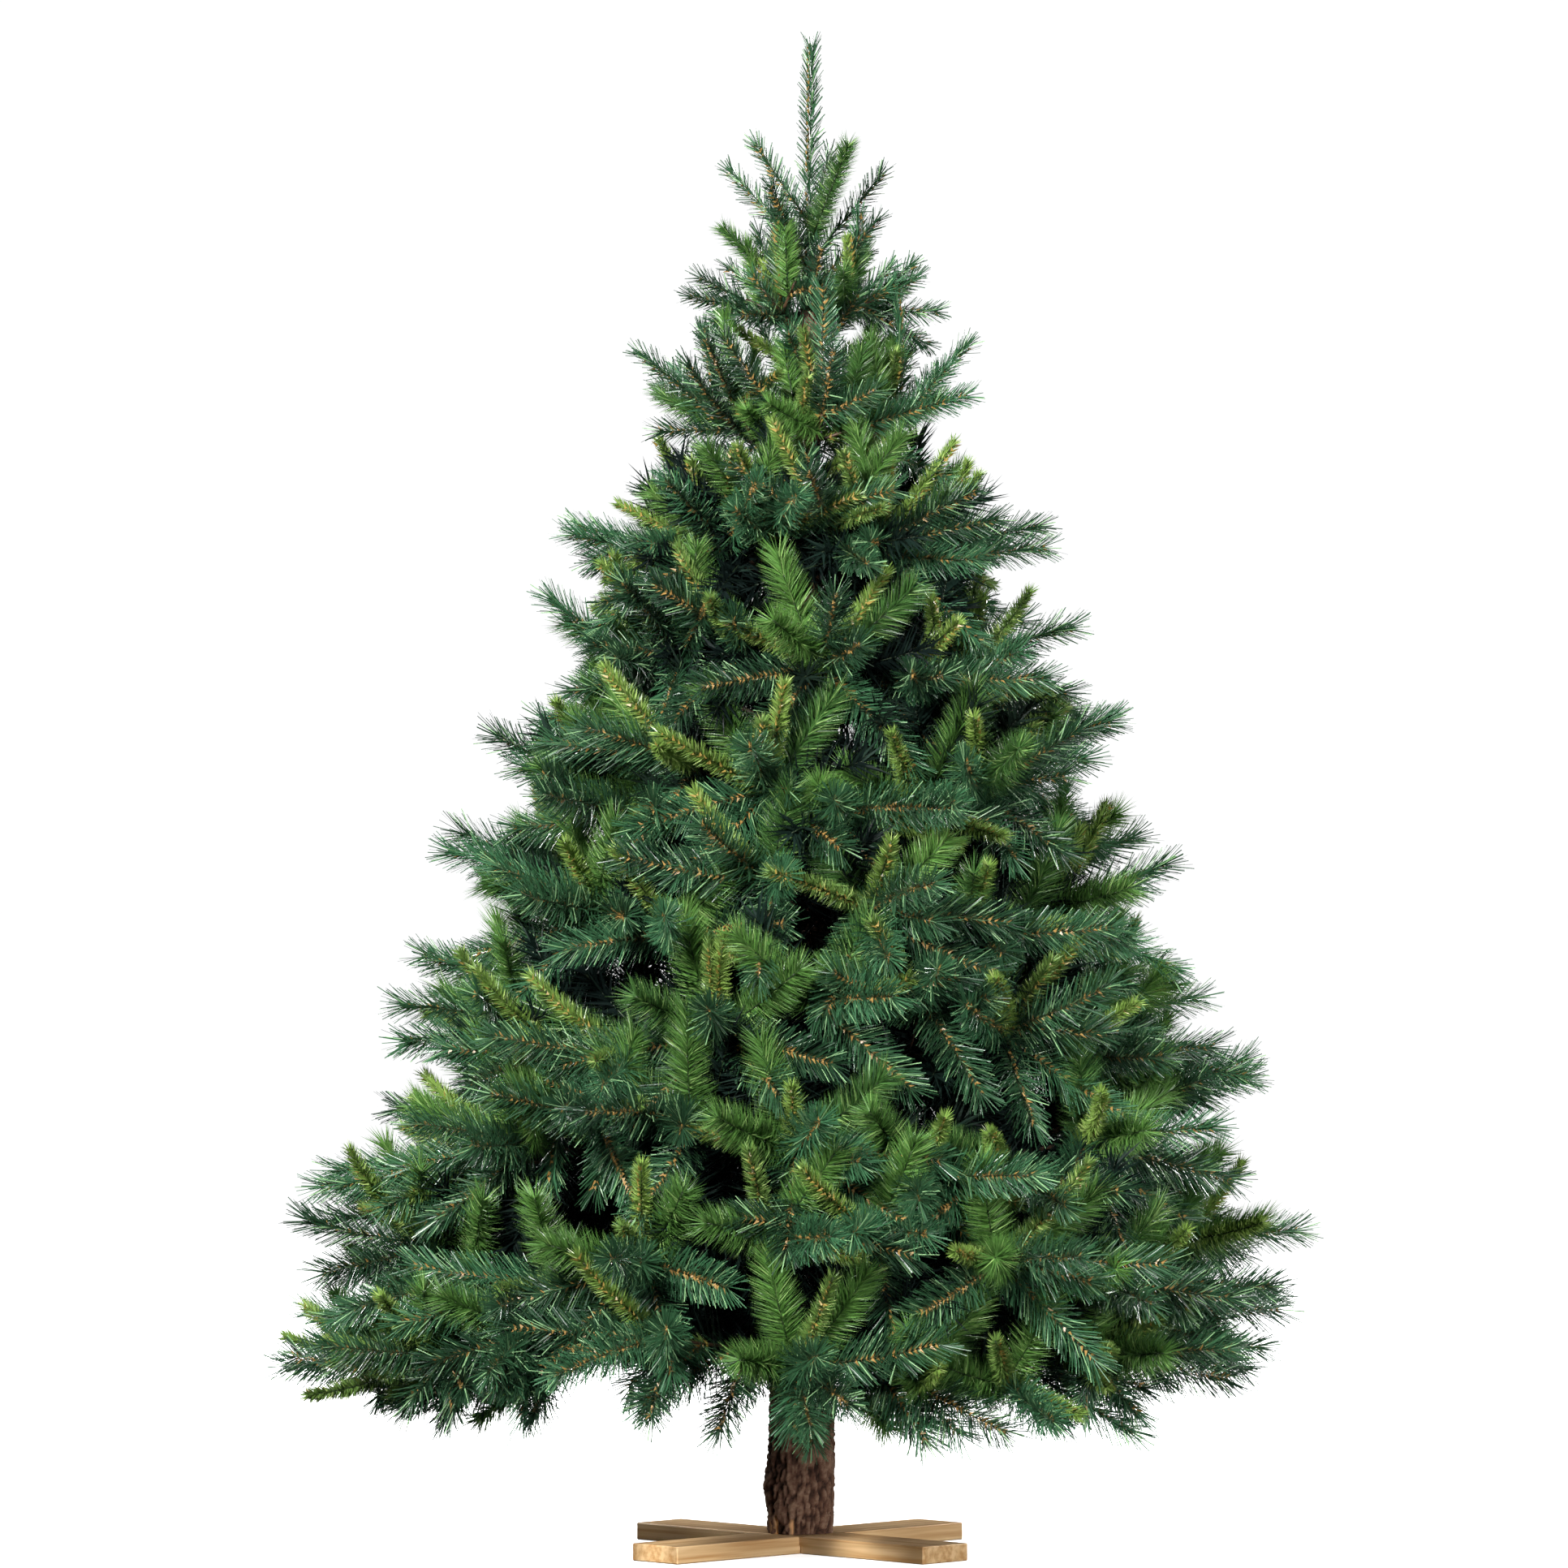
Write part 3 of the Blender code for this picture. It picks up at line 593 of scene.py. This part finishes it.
print(len(END_CLUSTER), "ways for tips at a branch's end,", len(TWIG_CLUSTER), "at a twig's")

# %% [markdown]
# ## One tip
# A tip could be a curve with needles scattered along it, but hundreds of curves are slow to build and to
# change. So a tip is only a few numbers: where its wire starts, where it heads, how long it is and how it
# curves. Its needles are worked out from these further down.

# %% A tip
FINE_HEIGHTS = (1.10, 1.70)  # between these heights the needles get shorter
FINEST = 0.60  # their length at the top, as a share of the full one


class Tip:
    """One needled tip: its kind, where its wire starts, its heading, length and curve."""

    def __init__(self, kind, start, heading, length, curl):
        self.kind = kind
        self.start = np.array(start)
        self.heading = np.array(heading)
        self.length = length
        self.curl = np.array(curl)
        low, high = FINE_HEIGHTS
        share = min(1.0, max(0.0, (start[2] - low) / (high - low)))
        self.needle = kind["needle"] * (1 + (FINEST - 1) * share)

    def point(self, share):
        return self.start + self.length * (share * self.heading + share**2 * self.curl)

    def facing(self):
        """The way out of the crown, less what of it lies along the tip: short for a tip that points out."""
        x, y, z = self.point(0.5)
        middle = trunk_middle(z)
        out = np.array((x - middle.x, y - middle.y, 0.0))
        out /= max(1e-6, np.linalg.norm(out))
        return out - out.dot(self.heading) * self.heading


def across(direction):
    """Two unit vectors at right angles to a direction and each other: up-ish, then sideways."""
    up = Vector((0, 0, 1)) - direction * direction.z
    if up.length < 0.05:
        up = Vector((0, -1, 0)) - direction * direction.dot(Vector((0, -1, 0)))
    up.normalize()
    return up, direction.cross(up)


# %% [markdown]
# ## Room for the tips
# A tree is bent into shape by hand until it is a neat cone, and its outline is still one of fingers. So a
# tip here is made shorter until it ends inside the cone. The first tip of a cluster may reach the cone
# itself. The others end up to 75 mm inside it, and that leaves the notches between the fingers.

# %% Inside the crown
LOWEST_TIPS = (0.130, 0.215)  # near the log, and at the crown's rim, where less hangs down
SKIRT_RADII = (0.48, 0.76)  # between these the one height turns into the other
SKIRT_SHIFT = 0.05  # it hangs lower on the right
LOWEST_PLAY = (0.13, 0.26)  # how low tips may hang: each has its own limit, so the skirt is ragged
LOWEST_INNER = 0.26
CROWN_PLAY = (-0.075, 0.012)  # how far a tip may end inside or outside the crown's cone
SHIFTED_HEIGHTS = (0.46, 0.32)  # between these the cone's axis moves over to the lowest tier's
BOX_MARGIN = 0.004  # how far inside the solids' box a tip ends
TOP_NARROWING = 0.045  # how much slimmer than the cone the crown is at its top
TOP_HEIGHTS = (1.66, 1.80)
NEEDLE_OVERHANG = 0.6  # how far needles reach past the wire's end, as a share of their length
NEEDLE_DROP = 0.4  # and below it


def in_the_crown(tip, play, lowest):
    """Whether a tip's needles stay inside the crown's cone and above its lowest sprays."""
    x, y, z = tip.point(1.0) + NEEDLE_OVERHANG * tip.needle * tip.heading
    middle = trunk_middle(min(z, LEADER_TOP))
    shift = LOWEST_SHIFT * smooth_step(*SHIFTED_HEIGHTS, z)
    off = math.hypot(x - middle.x - shift, y - middle.y)
    rim = smooth_step(*SKIRT_RADII, math.hypot(x - SKIRT_SHIFT, y))
    lowest = max(lowest, LOWEST_TIPS[0] + (LOWEST_TIPS[1] - LOWEST_TIPS[0]) * rim)
    (left, front, _), (right, back, _) = cad_box
    in_width = left < x - BOX_MARGIN and x + BOX_MARGIN < right
    in_depth = front < y - BOX_MARGIN and y + BOX_MARGIN < back
    reach = crown_radius(z) - TOP_NARROWING * smooth_step(*TOP_HEIGHTS, z) + play
    return in_width and in_depth and off < reach and z - NEEDLE_DROP * tip.needle > lowest


# %% Grow a tip
LENGTH_PLAY = (0.92, 1.08)
SHORTENING = 0.96
SHORTEST = 0.35  # of its kind's length: a tip with less room than that is left out


def across_from(heading, along):
    """What of a direction lies at right angles to a heading."""
    return along - heading * along.dot(heading)


def new_tip(kind, start, along, angle, roll, size, dice, furthest=False):
    """A tip that leaves a twig at an angle and a roll. It is made shorter until it stays in the crown."""
    up, side = across(along)
    roll = math.radians(roll)
    off = math.radians(angle)
    heading = math.cos(off) * along + math.sin(off) * (math.cos(roll) * up - math.sin(roll) * side)
    upwards = across(heading)[0]
    curl = upwards * dice.uniform(*kind["curl"]) - across_from(heading, along) * dice.uniform(*kind["bend"])
    length = kind["length"] * size * dice.uniform(*LENGTH_PLAY)
    tip = Tip(kind, start, heading, length, curl)
    play = CROWN_PLAY[1] if furthest else dice.uniform(*CROWN_PLAY)
    lowest = LOWEST_INNER if kind is INNER else dice.uniform(*LOWEST_PLAY)
    while not in_the_crown(tip, play, lowest):
        tip.length *= SHORTENING
        if tip.length < SHORTEST * kind["length"]:
            return None
    return tip


# %% Grow a cluster
ANGLE_PLAY = 8
ROLL_PLAY = 15


def grow_cluster(ways, skipped, stagger, root, end, size, dice):
    """The tips round a twig's end, less a few that are left out at random."""
    along = (end - root).normalized()
    left_out = dice.sample(range(1, len(ways)), skipped)
    tips = []
    for number, (kind, angle, roll, share) in enumerate(ways):
        if number not in left_out:
            start = end - along * (dice.uniform(0.0, stagger) if number else 0.0)
            angle += dice.uniform(-ANGLE_PLAY, ANGLE_PLAY)
            roll += dice.uniform(-ROLL_PLAY, ROLL_PLAY)
            tips.append(new_tip(kind, start, along, angle, roll, share * size, dice, number == 0))
    return tips


# %% Grow the tips of every branch
TIP_SEED = 7000
SKIPPED_AT_ENDS = 3  # how many of a cluster's tips are left out
SKIPPED_AT_TWIGS = 2
SKIPPED_IN_SKIRT = 3
SKIRT_SHARES = (0.46, 0.68, 0.90)  # of the way out, where the lowest tier's tips hang down
TOP_TIERS = 2  # their tips sit singly, like fingers
END_STAGGER = 0.030  # how far back from a twig's end its tips start
TOP_STAGGER = 0.075
INNER_TIPS = (
    (0.86, 70), (0.74, -110), (0.62, 150), (0.50, -30), (0.42, 110), (0.34, 60), (0.26, 200), (0.20, -70),
    (0.15, 140), (0.10, 20),
)  # share of the way out, roll
TWIG_INNER_SHARES = (0.80, 0.56, 0.32)
INNER_ANGLE = 60
INNER_ROLL_PLAY = 40
INNER_CLEARANCE = 0.035  # an inner tip starts at least this far from the log's middle


def grow_tips(branch):
    """The clusters on a branch's end and its twigs, and the darker tips along its stem."""
    dice = random.Random(TIP_SEED + 100 * branch["tier"] + branch["number"])
    size = branch["size"]
    root, end = branch["root"], branch["end"]
    at_top = branch["tier"] >= len(TIER_BRANCHES) - TOP_TIERS
    if at_top:
        ends, twigs, skipped, stagger = TOP_END_CLUSTER, TOP_TWIG_CLUSTER, (1, 1), TOP_STAGGER
    else:
        ends, twigs, stagger = END_CLUSTER, TWIG_CLUSTER, END_STAGGER
        skipped = (SKIPPED_AT_ENDS, SKIPPED_AT_TWIGS)
    tips = grow_cluster(ends, skipped[0], stagger, root, end, size, dice)
    for fork, twig_end in branch["twigs"]:
        tips += grow_cluster(twigs, skipped[1], stagger, fork, twig_end, size, dice)
    if branch["tier"] == 0:
        for fork, twig_end in [(root, end), *branch["twigs"]]:
            for share in SKIRT_SHARES:
                inward = fork.lerp(twig_end, share)
                tips += grow_cluster(SKIRT_TIPS, SKIPPED_IN_SKIRT, END_STAGGER, fork, inward, size, dice)
    if not at_top:
        along = (end - root).normalized()
        for share, roll in INNER_TIPS:
            start = root.lerp(end, share)
            if math.hypot(start.x - root.x, start.y - root.y) > INNER_CLEARANCE:
                roll += dice.uniform(-INNER_ROLL_PLAY, INNER_ROLL_PLAY) + 90 * branch["number"]
                tips.append(new_tip(INNER, start, along, INNER_ANGLE, roll, size, dice))
        for fork, twig_end in branch["twigs"]:
            along = (twig_end - fork).normalized()
            for share in TWIG_INNER_SHARES:
                roll = dice.uniform(0, 360)
                tips.append(new_tip(INNER, fork.lerp(twig_end, share), along, INNER_ANGLE, roll, size, dice))
    return [tip for tip in tips if tip]


for branch in branches:
    branch["tips"] = grow_tips(branch)
every_tip = [tip for branch in branches for tip in branch["tips"]]
for kind in (LONG, SOFT, OLIVE, INNER):
    print(kind["name"], sum(tip.kind is kind for tip in every_tip), "tips")

# %% [markdown]
# ## The leader
# The top shoot is one slim tip that stands on the log, with shorter needles set far enough apart that the
# white behind them shows through. Slim shoots stand out all round the log's top below it. They could be
# grown as one more tier of branches, but they have no stems or twigs, so each is a single tip.

# %% Leader and its shoots
LEADER_FOOT = TRUNK_TOP + GAP
LEADER_REACH = 0.019  # how far its needles reach past its wire
LEADER_CURVE = (0.01, 0, 0)
LEADER = {"name": "long", "length": 0.290, "needle": 0.044, "width": 0.0019, "count": 470, "wire": 0.0022,
          "sweep": (45, 26), "curl": (0, 0), "outline": "strip", "flat": 0.0}
SHOOT = {"name": "long", "length": 0.162, "needle": 0.044, "width": 0.0017, "count": 270, "wire": 0.0015,
         "sweep": (52, 28), "curl": (0, 0.12), "outline": "strip", "flat": 0.3}
SHOOT_COUNT = 32
SHOOT_HEIGHTS = (1.44, 1.835)
SHOOT_RISES = (20, 50)
SHOOT_RISE_PLAY = 6
SHOOT_TURN = 2.4  # radians from one shoot to the next, close to the golden angle, so none hides another
SHOOT_LENGTHS = (0.85, 1.05)
SHOOT_CURL = 0.15
SHOOT_ROUND = 6  # one shoot in so many is a soft tip, and low down another is an olive one
LAST_OLIVE_SHOOT = 20
SHOOT_SEED = 11

dice = random.Random(SHOOT_SEED)
leader_length = LEADER_TOP - LEADER_FOOT - LEADER_REACH
leader_tips = [Tip(LEADER, trunk_middle(LEADER_FOOT), Vector((0, 0, 1)), leader_length, LEADER_CURVE)]
for number in range(SHOOT_COUNT):
    share = number / (SHOOT_COUNT - 1)
    height = SHOOT_HEIGHTS[0] + (SHOOT_HEIGHTS[1] - SHOOT_HEIGHTS[0]) * share
    rise = SHOOT_RISES[0] + (SHOOT_RISES[1] - SHOOT_RISES[0]) * share**2
    rise = math.radians(rise + dice.uniform(-SHOOT_RISE_PLAY, SHOOT_RISE_PLAY))
    away = outwards(SHOOT_TURN * number) * math.cos(rise) + Vector((0, 0, math.sin(rise)))
    kind = SHOOT
    if number % SHOOT_ROUND == 5:
        kind = SOFT
    if number % SHOOT_ROUND == 3 and number < LAST_OLIVE_SHOOT:
        kind = OLIVE
    curl = across(away)[0] * dice.uniform(0, SHOOT_CURL)
    length = SHOOT["length"] * dice.uniform(*SHOOT_LENGTHS)
    leader_tips.append(Tip(kind, trunk_middle(height), away, length, curl))
print(len(leader_tips), "tips in the leader")

# %% [markdown]
# ## Needles
# A tip is made by twisting two wires with cut film between them, so the needles leave it in a tight
# spiral, swept towards its end. In its box a tip is pressed flat, like a feather, and it stays so. A picture
# of needles on a card would show its edges, so each needle is a mesh of its own. A long one is a flat strip
# with a cut end, a little narrower there. The finer ones have only three corners, so that there can be more.
# Strips are turned at random about their own length, as film lies when it is twisted, and that gives
# some of them a bright edge and leaves their neighbours dark.

# %% Strips of film
TWIST_PLAY = 0.8  # how much chance there is in the way a strip faces
CUT_END = 0.7  # a cut end's width, as a share of the foot's


def strips(tip, shares, turns, sweeps, lengths, widths, dice, outline, foot, flatness):
    """Strips that leave a tip's wire: four corners each with a cut end, or three with a point."""
    shares = shares[:, None]
    tangent = unit(tip.heading + 2 * shares * tip.curl)
    root = tip.start + tip.length * (shares * tip.heading + shares**2 * tip.curl)
    side = unit(np.cross(tangent, np.array(across(Vector(tip.heading))[0])))
    up = np.cross(side, tangent)
    out = np.cos(turns)[:, None] * up + np.sin(turns)[:, None] * side
    facing = tip.facing()
    strength = max(1e-6, np.linalg.norm(facing))
    facing /= strength
    out = unit(out - flatness * strength * (out @ facing)[:, None] * facing)
    heading = np.cos(sweeps)[:, None] * tangent + np.sin(sweeps)[:, None] * out
    flat = unit(np.cross(heading, out + TWIST_PLAY * dice.normal(size=out.shape)))
    root = root + foot * out
    end = root + lengths[:, None] * heading
    half = widths[:, None] * flat / 2
    if outline == "point":
        return np.stack([root - half, root + half, end], axis=1)
    return np.stack([root - half, root + half, end + CUT_END * half, end - CUT_END * half], axis=1)


# %% Needles of a tip
GOLDEN_TURN = math.pi * (3 - math.sqrt(5))
TURN_PLAY = 0.3
SWEEP_PLAY = 0.07
NEEDLE_PLAY = (0.82, 1.08)
WIDTH_PLAY = (0.8, 1.15)
END_SHORTENING = 0.12  # how much shorter the needles at a tip's end are


def needles_of(tip, dice):
    """A tip's needles: a spiral of strips whose sweep closes towards the end."""
    kind = tip.kind
    count = int(kind["count"] * min(1.0, tip.length / kind["length"]))
    shares = (np.arange(count) + dice.random(count)) / count
    turns = GOLDEN_TURN * np.arange(count) + dice.normal(0, TURN_PLAY, count)
    first, last = (math.radians(angle) for angle in kind["sweep"])
    sweeps = first + (last - first) * shares**3 + dice.normal(0, SWEEP_PLAY, count)
    lengths = tip.needle * dice.uniform(*NEEDLE_PLAY, count) * (1 - END_SHORTENING * shares**3)
    widths = kind["width"] * dice.uniform(*WIDTH_PLAY, count)
    outline, foot, flatness = kind["outline"], kind["wire"], kind["flat"]
    return strips(tip, shares, turns, sweeps, lengths, widths, dice, outline, foot, flatness)


# %% [markdown]
# ## Film colours
# The needles are PVC film, calendered smooth, so they have a soft gloss. Its IOR is about 1.53 and its
# roughness about 0.4. A factory mixes rolls of film, so each kind has a few shades. A noise over the whole
# crown could vary the colour, but real tips differ from their neighbours, so the shades are dealt out tip
# by tip. One needle in eight takes a paler one, dealt out at random.

# %% PVC film materials
PVC_IOR = 1.53
PVC_ROUGHNESS = 0.38
PVC_SHINE = 0.42
INNER_SHINE = 0.05  # the tips near the log lie in shadow and may not glint


def pvc_film(name, colour, shine=PVC_SHINE):
    made, tree, shader = new_material(name, Base_Color=linear(colour), Roughness=PVC_ROUGHNESS, IOR=PVC_IOR)
    shader.inputs["Specular IOR Level"].default_value = shine
    return made


FILM = {
    "long": [pvc_film("pvc_film_fir_green", "#2b4e32"), pvc_film("pvc_film_deep_green", "#1e3b25"),
             pvc_film("pvc_film_blue_green", "#325b3c"), pvc_film("pvc_film_pale_fir", "#769a6c")],
    "soft": [pvc_film("pvc_film_mid_green", "#456a2f"), pvc_film("pvc_film_leaf_green", "#507836"),
             pvc_film("pvc_film_grass_green", "#3b5f2c"), pvc_film("pvc_film_pale_leaf", "#7c9c58")],
    "olive": [pvc_film("pvc_film_olive", "#648039"), pvc_film("pvc_film_yellow_green", "#708c40"),
              pvc_film("pvc_film_moss", "#587436"), pvc_film("pvc_film_pale_lime", "#96aa62")],
    # Near-black film for the tips near the log: painted shade for the crown's dark heart.
    "inner": [pvc_film("pvc_film_painted_shade_green", "#152019", INNER_SHINE),
              pvc_film("pvc_film_painted_shade_deep", "#0f1816", INNER_SHINE),
              pvc_film("pvc_film_painted_shade_blue", "#13201b", INNER_SHINE),
              pvc_film("pvc_film_painted_shade_pale", "#1d2b24", INNER_SHINE)],
}
SHADES = 3  # in each kind, before the pale one
PALE_SHARE = 0.12

brown_film = pvc_film("brown_pvc_film", "#8e6f3c")
golden_film = pvc_film("golden_pvc_film", "#8a7439")
green_wire = pvc_film("green_pvc_wire", "#26331f")
print(sum(len(shades) for shades in FILM.values()), "shades of film for needles")

# %% Join the needles into pieces
MOST_TRIANGLES = 190_000
FULLEST_MASS = 12_000  # about the most that one mass adds to a piece
NEEDLE_SEED = 500


def join_strips(name, batches, shades, materials, nodes):
    """One piece from many tips' strips. It stands for the nodes that those tips grow in."""
    corners = np.concatenate(batches)
    faces = np.arange(corners.shape[0] * corners.shape[1]).reshape(len(corners), -1).tolist()
    piece = new_piece(name, corners, faces, materials, np.concatenate(shades))
    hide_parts(*nodes)
    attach(piece, "root")
    print(name, triangles(piece), "triangles,", len(nodes), "masses")


needled = [(branch["name"] + "_needles", branch["tips"]) for branch in branches]
needled.append(("leader_needles", leader_tips))
for kind_name, materials in FILM.items():
    part, held = 1, 0
    batches, shades, nodes = [], [], []
    for node_number, (node, tips) in enumerate(needled):
        dice = np.random.default_rng(NEEDLE_SEED + node_number)
        for tip in tips:
            if tip.kind["name"] != kind_name:
                continue
            made = needles_of(tip, dice)
            held += len(made) * (made.shape[1] - 2)
            pale = dice.random(len(made)) < PALE_SHARE
            batches.append(made)
            shades.append(np.where(pale, SHADES, dice.integers(SHADES)))
        nodes.append(node)
        if node_number == len(needled) - 1 or held > MOST_TRIANGLES - FULLEST_MASS:
            join_strips(f"{kind_name}_needles_{part}", batches, shades, materials, nodes)
            part, held = part + 1, 0
            batches, shades, nodes = [], [], []

# %% [markdown]
# ## Brown strips
# Short strips of brown film are twisted in with the green ones, to look like the twig's bark and buds. From
# outside they show as a line of small Vs, one after the other. Strips all round the wire would be hidden by
# the needles, so each V is laid on the tip's outer side and lifted clear of them.

# %% Vs of brown film
CHEVRON_STEP = 0.0080
CHEVRON_LENGTH = 0.0095
CHEVRON_WIDTH = 0.0042
CHEVRON_PLAY = (0.8, 1.2)
CHEVRON_SWEEP = math.radians(46)
CHEVRON_SWEEP_PLAY = 0.15
CHEVRON_TURN_PLAY = 0.5
CHEVRON_FOOT = 0.0005
CHEVRON_FLATNESS = 0.95
CHEVRON_LIFTS = {"long": 0.0050, "olive": 0.0095}  # how far they stand off the wire, on the outer side


def chevrons_of(tip, dice):
    """The short brown strips that are twisted in with the needles, V after V along the outer side."""
    rings = int(tip.length / CHEVRON_STEP)
    count = 2 * rings
    shares = (np.arange(count) // 2 + 0.5) / rings
    turns = math.pi * np.arange(count) + dice.normal(0, CHEVRON_TURN_PLAY, count)
    sweeps = CHEVRON_SWEEP + dice.normal(0, CHEVRON_SWEEP_PLAY, count)
    lengths = CHEVRON_LENGTH * dice.uniform(*CHEVRON_PLAY, count)
    widths = CHEVRON_WIDTH * dice.uniform(*CHEVRON_PLAY, count)
    foot, flatness = CHEVRON_FOOT, CHEVRON_FLATNESS
    made = strips(tip, shares, turns, sweeps, lengths, widths, dice, "point", foot, flatness)
    return made + CHEVRON_LIFTS[tip.kind["name"]] * tip.facing()


# %% Join the brown strips
BROWN_SEED = 900

batches, shades = [], []
for node_number, (node, tips) in enumerate(needled):
    dice = np.random.default_rng(BROWN_SEED + node_number)
    for tip in tips:
        if tip.kind["name"] in ("long", "olive"):
            made = chevrons_of(tip, dice)
            batches.append(made)
            shades.append(np.full(len(made), int(tip.kind is OLIVE)))
mass_nodes = [node for node, _ in needled]
join_strips("brown_strips", batches, shades, [brown_film, golden_film], mass_nodes)

# %% [markdown]
# ## Wires and wrapped branches
# Under the needles each tip is a thin twisted wire, and each branch is a steel rod wrapped in brown
# PVC ribbon. Curves with a bevel would give the same shapes one at a time. These are tubes with a few sides
# that follow the lines of the tips and branches, so that hundreds of them join into one mesh.

# %% Tubes


def tube(points, radii, sides):
    """The corners and faces of a tube with closed ends along a line of points."""
    points = np.asarray(points, float)
    tangents = unit(np.gradient(points, axis=0))
    corners = []
    for point, tangent, radius in zip(points, tangents, radii):
        up, side = (np.array(each) for each in across(Vector(tangent)))
        angles = 2 * math.pi * np.arange(sides) / sides
        corners.append(point + radius * (np.cos(angles)[:, None] * up + np.sin(angles)[:, None] * side))
    return np.concatenate(corners), ring_faces(len(points), sides)


def join_tubes(name, tubes, material, nodes):
    """One piece from many tubes. It stands for the nodes that they lie in."""
    corners, faces = [], []
    for points, tube_faces in tubes:
        first = len(corners)
        faces += [tuple(first + corner for corner in face) for face in tube_faces]
        corners += points.tolist()
    piece = new_piece(name, corners, faces, [material], smooth=True)
    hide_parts(*nodes)
    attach(piece, "root")
    print(name, triangles(piece), "triangles")


# %% Ribbon material
WRAP_PITCH = 0.03393  # ribbon is wound at about 9 mm, and is drawn coarser here so that it shows
BANDS_IN_A_METRE = 10 / (2 * math.pi)  # that a diagonal wave texture draws along an axis at scale 1

wrap, tree, shader = new_material("brown_ribbon_wrap", Roughness=0.6, IOR=PVC_IOR)
place = add_node(tree, "ShaderNodeTexCoord").outputs["Object"]
stripe = add_node(tree, "ShaderNodeTexWave", {"Vector": place, "Distortion": 2.0}, bands_direction="DIAGONAL")
stripe.inputs["Scale"].default_value = 1 / WRAP_PITCH / BANDS_IN_A_METRE
tone = add_node(tree, "ShaderNodeValToRGB", {"Fac": stripe.outputs["Fac"]})
tone.color_ramp.elements[0].color = linear("#2e2015")
tone.color_ramp.elements[1].color = linear("#4d3622")
tree.links.new(tone.outputs["Color"], shader.inputs["Base Color"])

# %% Branches, twigs and wires
BRANCH_POINTS = 9
BRANCH_SIDES = 8
BOUGH_RADIUS = 0.0055
BRANCH_END_RADIUS = 0.0030
TOP_SLIMNESS = 0.5  # how much thinner the top tier's branches are
TWIG_POINTS = 5
TWIG_SIDES = 6
TWIG_RADIUS = 0.0026
TWIG_END_RADIUS = 0.0018
WIRE_POINTS = 5
WIRE_SIDES = 3
WIRE_END_RADIUS = 0.0008

boughs, stems, wires = [], [], []
for branch in branches:
    line = [branch["root"].lerp(branch["end"], share) for share in np.linspace(0, 1, BRANCH_POINTS)]
    slimness = 1 - TOP_SLIMNESS * branch["tier"] / (len(TIER_BRANCHES) - 1)
    radii = np.linspace(BOUGH_RADIUS, BRANCH_END_RADIUS, BRANCH_POINTS) * slimness
    if branch["tier"] < TIERS_WITH_BOUGHS:
        boughs.append(tube(line, radii, BRANCH_SIDES))
    else:
        stems.append(tube(line, radii, BRANCH_SIDES))
    for fork, end in branch["twigs"]:
        line = [fork.lerp(end, share) for share in np.linspace(0, 1, TWIG_POINTS)]
        stems.append(tube(line, np.linspace(TWIG_RADIUS, TWIG_END_RADIUS, TWIG_POINTS), TWIG_SIDES))
for _, tips in needled:
    for tip in tips:
        line = [tip.point(share) for share in np.linspace(0, 1, WIRE_POINTS)]
        wires.append(tube(line, np.linspace(tip.kind["wire"], WIRE_END_RADIUS, WIRE_POINTS), WIRE_SIDES))
bough_nodes = [branch["name"] + "_bough" for branch in branches if branch["tier"] < TIERS_WITH_BOUGHS]
join_tubes("wrapped_boughs", boughs, wrap, bough_nodes)
join_tubes("wrapped_branches", stems, wrap, mass_nodes)
join_tubes("tip_wires", wires, green_wire, mass_nodes)
